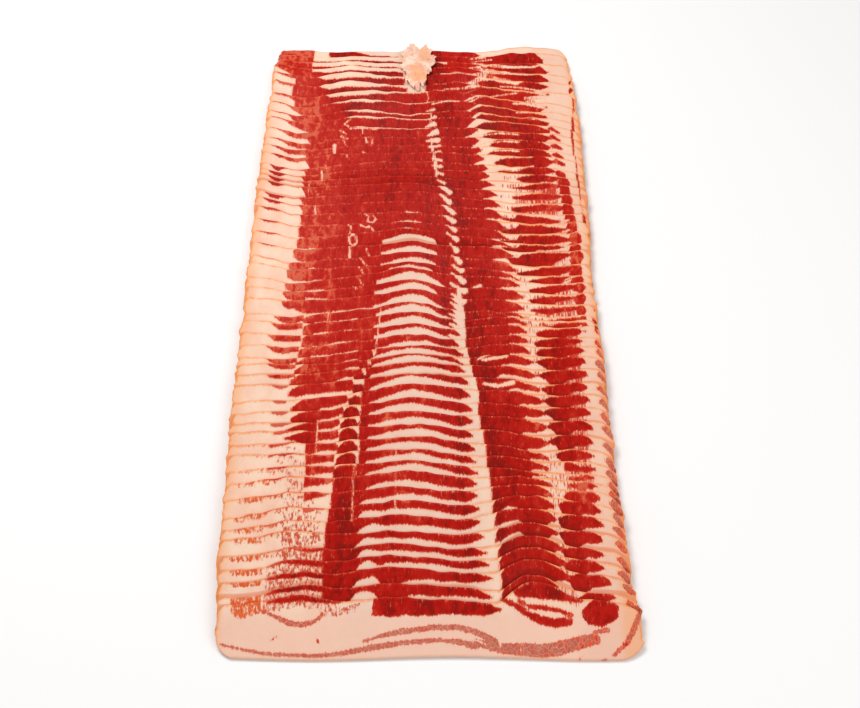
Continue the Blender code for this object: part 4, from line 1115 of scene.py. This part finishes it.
def fat_shades(nodes, read):
    """Fat: cream, pinker in patches and beside the lean, warm orange at its rim, with fine hairs of lean and
    painted shade where the next rasher lies on it.
    """
    eased = nodes.eased
    right_half = eased(read.across, *RIGHT_HALF)
    inner = nodes.times(eased(read.across, *INNER_FROM_LEFT, 0.0, 0.6), eased(read.across, *INNER_FROM_RIGHT))
    sides = nodes.calculate("MAXIMUM", eased(read.across, *RIGHT_SIDE), eased(read.across, *LEFT_SIDE))
    split = nodes.add("ShaderNodeMix")
    nodes.feed(split.inputs[0], right_half)
    nodes.feed(split.inputs[2], nodes.noise(read.coordinates, *SHORT_HAIR))
    nodes.feed(split.inputs[3], nodes.noise(read.coordinates, *HAIR))
    dense = nodes.plus(nodes.centred(split.outputs[0], 2.2), nodes.times(read.mottle, 0.46))
    hairs = nodes.times(eased(dense, 0.12, 0.52), eased(read.mottle, 0.02, 0.2))
    hair_colour = nodes.painted(HAIR_LEFT, (
        (eased(read.across, *PAST_LEFT_DASHES), HAIR_COLOUR),
        (right_half, HAIR_RIGHT),
        (eased(read.fibre, 0.42, 0.6, 0.0, 0.6), HAIR_FIBRE),
    ))
    return nodes.painted(FAT, (
        (eased(read.patches, 0.3, 0.7), FAT_PATCH),
        (eased(read.fine, 0.45, 0.75, 0.0, 0.4), FAT_LIGHT),
        (inner, FAT_INNER),
        (eased(read.torn, -1.6, 0.0, 0.0, 0.5), FAT_BY_LEAN),
        (eased(read.along, *NEAREST_FACE, 0.0, 0.75), FAT_NEAREST),
        (eased(read.across, *RIGHT_PART, 0.0, 0.4), FAT_ROSY),
        (nodes.times(sides, 0.6), FAT_SIDE),
        # painted shade where the next rasher lies over the fat
        (eased(read.free, 0.0, 1.7, 0.62, 0.0), FAT_PAINTED_SHADE_BY_NEXT),
        (warm_rim(nodes, read), FAT_RIM),
        (hairs, hair_colour),
    ))


def bacon_material(group):
    """Lean and fat in one slice, drawn by the maps of each rasher and roughened by fine grain."""
    made, nodes, surface, read = moist_material("streaky_bacon", group)
    for name in MAPS:
        setattr(read, name, nodes.add("ShaderNodeAttribute", attribute_name=name).outputs["Fac"])
    axes = nodes.add("ShaderNodeSeparateXYZ")
    nodes.feed(axes.inputs["Vector"], read.coordinates)
    read.across, read.along = axes.outputs["X"], axes.outputs["Y"]
    read.torn = nodes.plus(read.lean, nodes.centred(read.fibre, 3.0), nodes.centred(read.fine, 1.4))
    # pale streaks are small beads of lean with white membranes between them
    membrane = nodes.eased(nodes.from_membranes(read.coordinates, BEADS), 0.0, 0.07, 0.4, 0.0)
    pale = nodes.eased(read.tone, 0.02, -0.08)
    is_lean = nodes.times(nodes.eased(read.torn, -0.3, 0.3), nodes.minus(1.0, nodes.times(pale, membrane)))
    colour = nodes.painted(fat_shades(nodes, read), ((is_lean, lean_shades(nodes, read)),))
    nodes.feed(surface.inputs["Base Color"], colour)
    nodes.feed(surface.inputs["Roughness"], nodes.eased(read.fine, 0.2, 0.8, 0.30, 0.52))
    surface.inputs["Specular IOR Level"].default_value = 0.08
    nodes.relief(surface, nodes.plus(read.height, nodes.times(is_lean, 0.12)), 0.6, 0.0006)
    return made


def fat_material(group):
    """Soft torn fat: pinkish and white, with orange tips and shreds of lean."""
    made, nodes, surface, read = moist_material("soft_fat", group)
    tears = nodes.noise(read.coordinates, *TEARS)
    colour = nodes.painted(FLAP_FAT, (
        (nodes.eased(tears, 0.40, 0.60), FLAP_PALE),
        (nodes.eased(read.patches, 0.50, 0.64, 0.0, 0.75), FLAP_TIP),
        (nodes.eased(read.lumps, 0.60, 0.72, 0.0, 0.7), FLAP_LEAN),
        (nodes.eased(read.fine, 0.5, 0.75, 0.0, 0.4), FLAP_LIGHT),
    ))
    nodes.feed(surface.inputs["Base Color"], colour)
    surface.inputs["Roughness"].default_value = 0.42
    surface.inputs["Specular IOR Level"].default_value = 0.25
    nodes.relief(surface, tears, 0.8, 0.0012)
    return made


# The loose flap of soft fat on the backmost rashers

FLAP_CENTRE = (-6.0, 29.0)
FLAP_RADII = (14.5, 31.0, 1.2)
FLAP_LIFT = 0.06
FLAP_WIDENING = 0.3
CREST_SCATTER = 1.4

# Raggedness of its outline: how much, how many lobes, and which layer of the noise
RAGGED = ((0.30, 1.6, 5.0), (0.30, 4.0, 1.0), (0.12, 11.0, 2.0))
# Lumps on its top: how high, how many to the millimetre along x and y, and which layer of the noise
LUMPS = ((0.5, 0.22, 0.16, 0.0), (0.3, 0.8, 0.5, 3.0))


def crest_height(y):
    """The height of the top of the rashers here, with room for the scatter of their edges."""
    reach = WIDTH + CREST_SCATTER
    return THICKNESS + RISE * np.clip((BACKMOST_RIND + reach - y) / PITCH, 0, reach / PITCH)


def flap(material):
    """A torn flap of soft fat: a flattened ball with a ragged outline and folds."""
    shape = bmesh.new()
    bmesh.ops.create_uvsphere(shape, u_segments=200, v_segments=60, radius=1.0)
    for vertex in shape.verts:
        at = vertex.co
        turn = math.atan2(at.y, at.x)
        reach = math.hypot(at.x, at.y)
        ragged = sum(
            size * noise.noise(Vector((math.cos(turn) * lobes, math.sin(turn) * lobes, layer)))
            for size, lobes, layer in RAGGED
        )
        outline = 0.97 + ragged * reach
        x = FLAP_CENTRE[0] + FLAP_RADII[0] * outline * (1 + FLAP_WIDENING * math.sin(turn)) * at.x
        y = BACK - FLAP_CENTRE[1] + FLAP_RADII[1] * outline * at.y
        lumps = sum(size * noise.noise(Vector((x * wide, y * deep, layer))) for size, wide, deep, layer in LUMPS)
        body = FLAP_RADII[2] * (1 + 0.55 * at.z + 0.4 * min(at.z, 0.0))
        z = float(crest_height(y)) + FLAP_LIFT + body + lumps * max(at.z, 0.0)
        vertex.co = ((x + CENTRE[0]) * MM, (y + CENTRE[1]) * MM, z * MM)
    mesh = bpy.data.meshes.new("soft_fat_lump")
    shape.to_mesh(mesh)
    shape.free()
    mesh.shade_smooth()
    piece = add_piece(mesh, material)
    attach(piece, "root")
    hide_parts("soft_fat_flap")


def build_block():
    """The flap and all the rashers, from the backmost to the nearest, which has the finest grid."""
    grain = moist_grain()
    meat = bacon_material(grain)
    flap(fat_material(grain))
    rashers = [Rasher(index) for index in range(RASHERS)]
    covered = slice_grid(stations(LENGTH, COVERED_STEP), COVERED_ROWS)
    nearest = slice_grid(stations(LENGTH, FACE_STEPS[0]), stations(WIDTH, FACE_STEPS[1]))
    for rasher, following in zip(rashers, rashers[1:]):
        lay(rasher, following, covered, meat)
    lay(rashers[-1], rashers[-1], nearest, meat)


# The studio

FLOOR_REACH = 4.0
FLOOR_COLOUR = (0.93, 0.93, 0.93, 1.0)
FLOOR_ROUGHNESS = 0.7
AIR_COLOUR = (1.0, 0.98, 0.96, 1.0)
AIR_STRENGTH = 0.46
LAMPS = (("key", (-0.5, 0.5, 1.3), 0.6, 13.0), ("fill", (0.7, -0.7, 1.0), 0.9, 5.0))
CAMERA_PLACE = (-0.00065, -0.5292, 0.678)
CAMERA_TILT = 35.3
CAMERA_LENS = 50.0
CAMERA_FILM = 36.0
CAMERA_SHIFT = 0.007


def soft_light(name, place, size, power):
    """A square soft light that looks at the middle of the block."""
    lamp = bpy.data.lights.new(name, "AREA")
    lamp.shape = "RECTANGLE"
    lamp.size = lamp.size_y = size
    lamp.energy = power
    holder = bpy.data.objects.new(name, lamp)
    holder.location = place
    holder.rotation_euler = (-Vector(place)).to_track_quat("-Z", "Y").to_euler()
    bpy.context.scene.collection.objects.link(holder)


def studio():
    """A plain pale floor, soft lights and the camera."""
    shape = bmesh.new()
    bmesh.ops.create_grid(shape, x_segments=1, y_segments=1, size=FLOOR_REACH)
    mesh = bpy.data.meshes.new("floor")
    shape.to_mesh(mesh)
    shape.free()
    pale = bpy.data.materials.new("pale_floor")
    pale.use_nodes = True
    surface = pale.node_tree.nodes["Principled BSDF"]
    surface.inputs["Base Color"].default_value = FLOOR_COLOUR
    surface.inputs["Roughness"].default_value = FLOOR_ROUGHNESS
    floor = add_piece(mesh, pale)
    world = bpy.data.worlds.new("studio")
    world.use_nodes = True
    air = world.node_tree.nodes["Background"]
    air.inputs["Color"].default_value = AIR_COLOUR
    air.inputs["Strength"].default_value = AIR_STRENGTH
    bpy.context.scene.world = world
    for lamp in LAMPS:
        soft_light(*lamp)
    camera = bpy.data.cameras.new("camera")
    camera.lens = CAMERA_LENS
    camera.sensor_width = CAMERA_FILM
    camera.shift_x = CAMERA_SHIFT
    holder = bpy.data.objects.new("camera", camera)
    holder.location = CAMERA_PLACE
    holder.rotation_euler = (math.radians(CAMERA_TILT), 0.0, 0.0)
    bpy.context.scene.collection.objects.link(holder)
    bpy.context.scene.camera = holder
    bpy.context.scene.view_settings.view_transform = "Standard"


build_block()
studio()
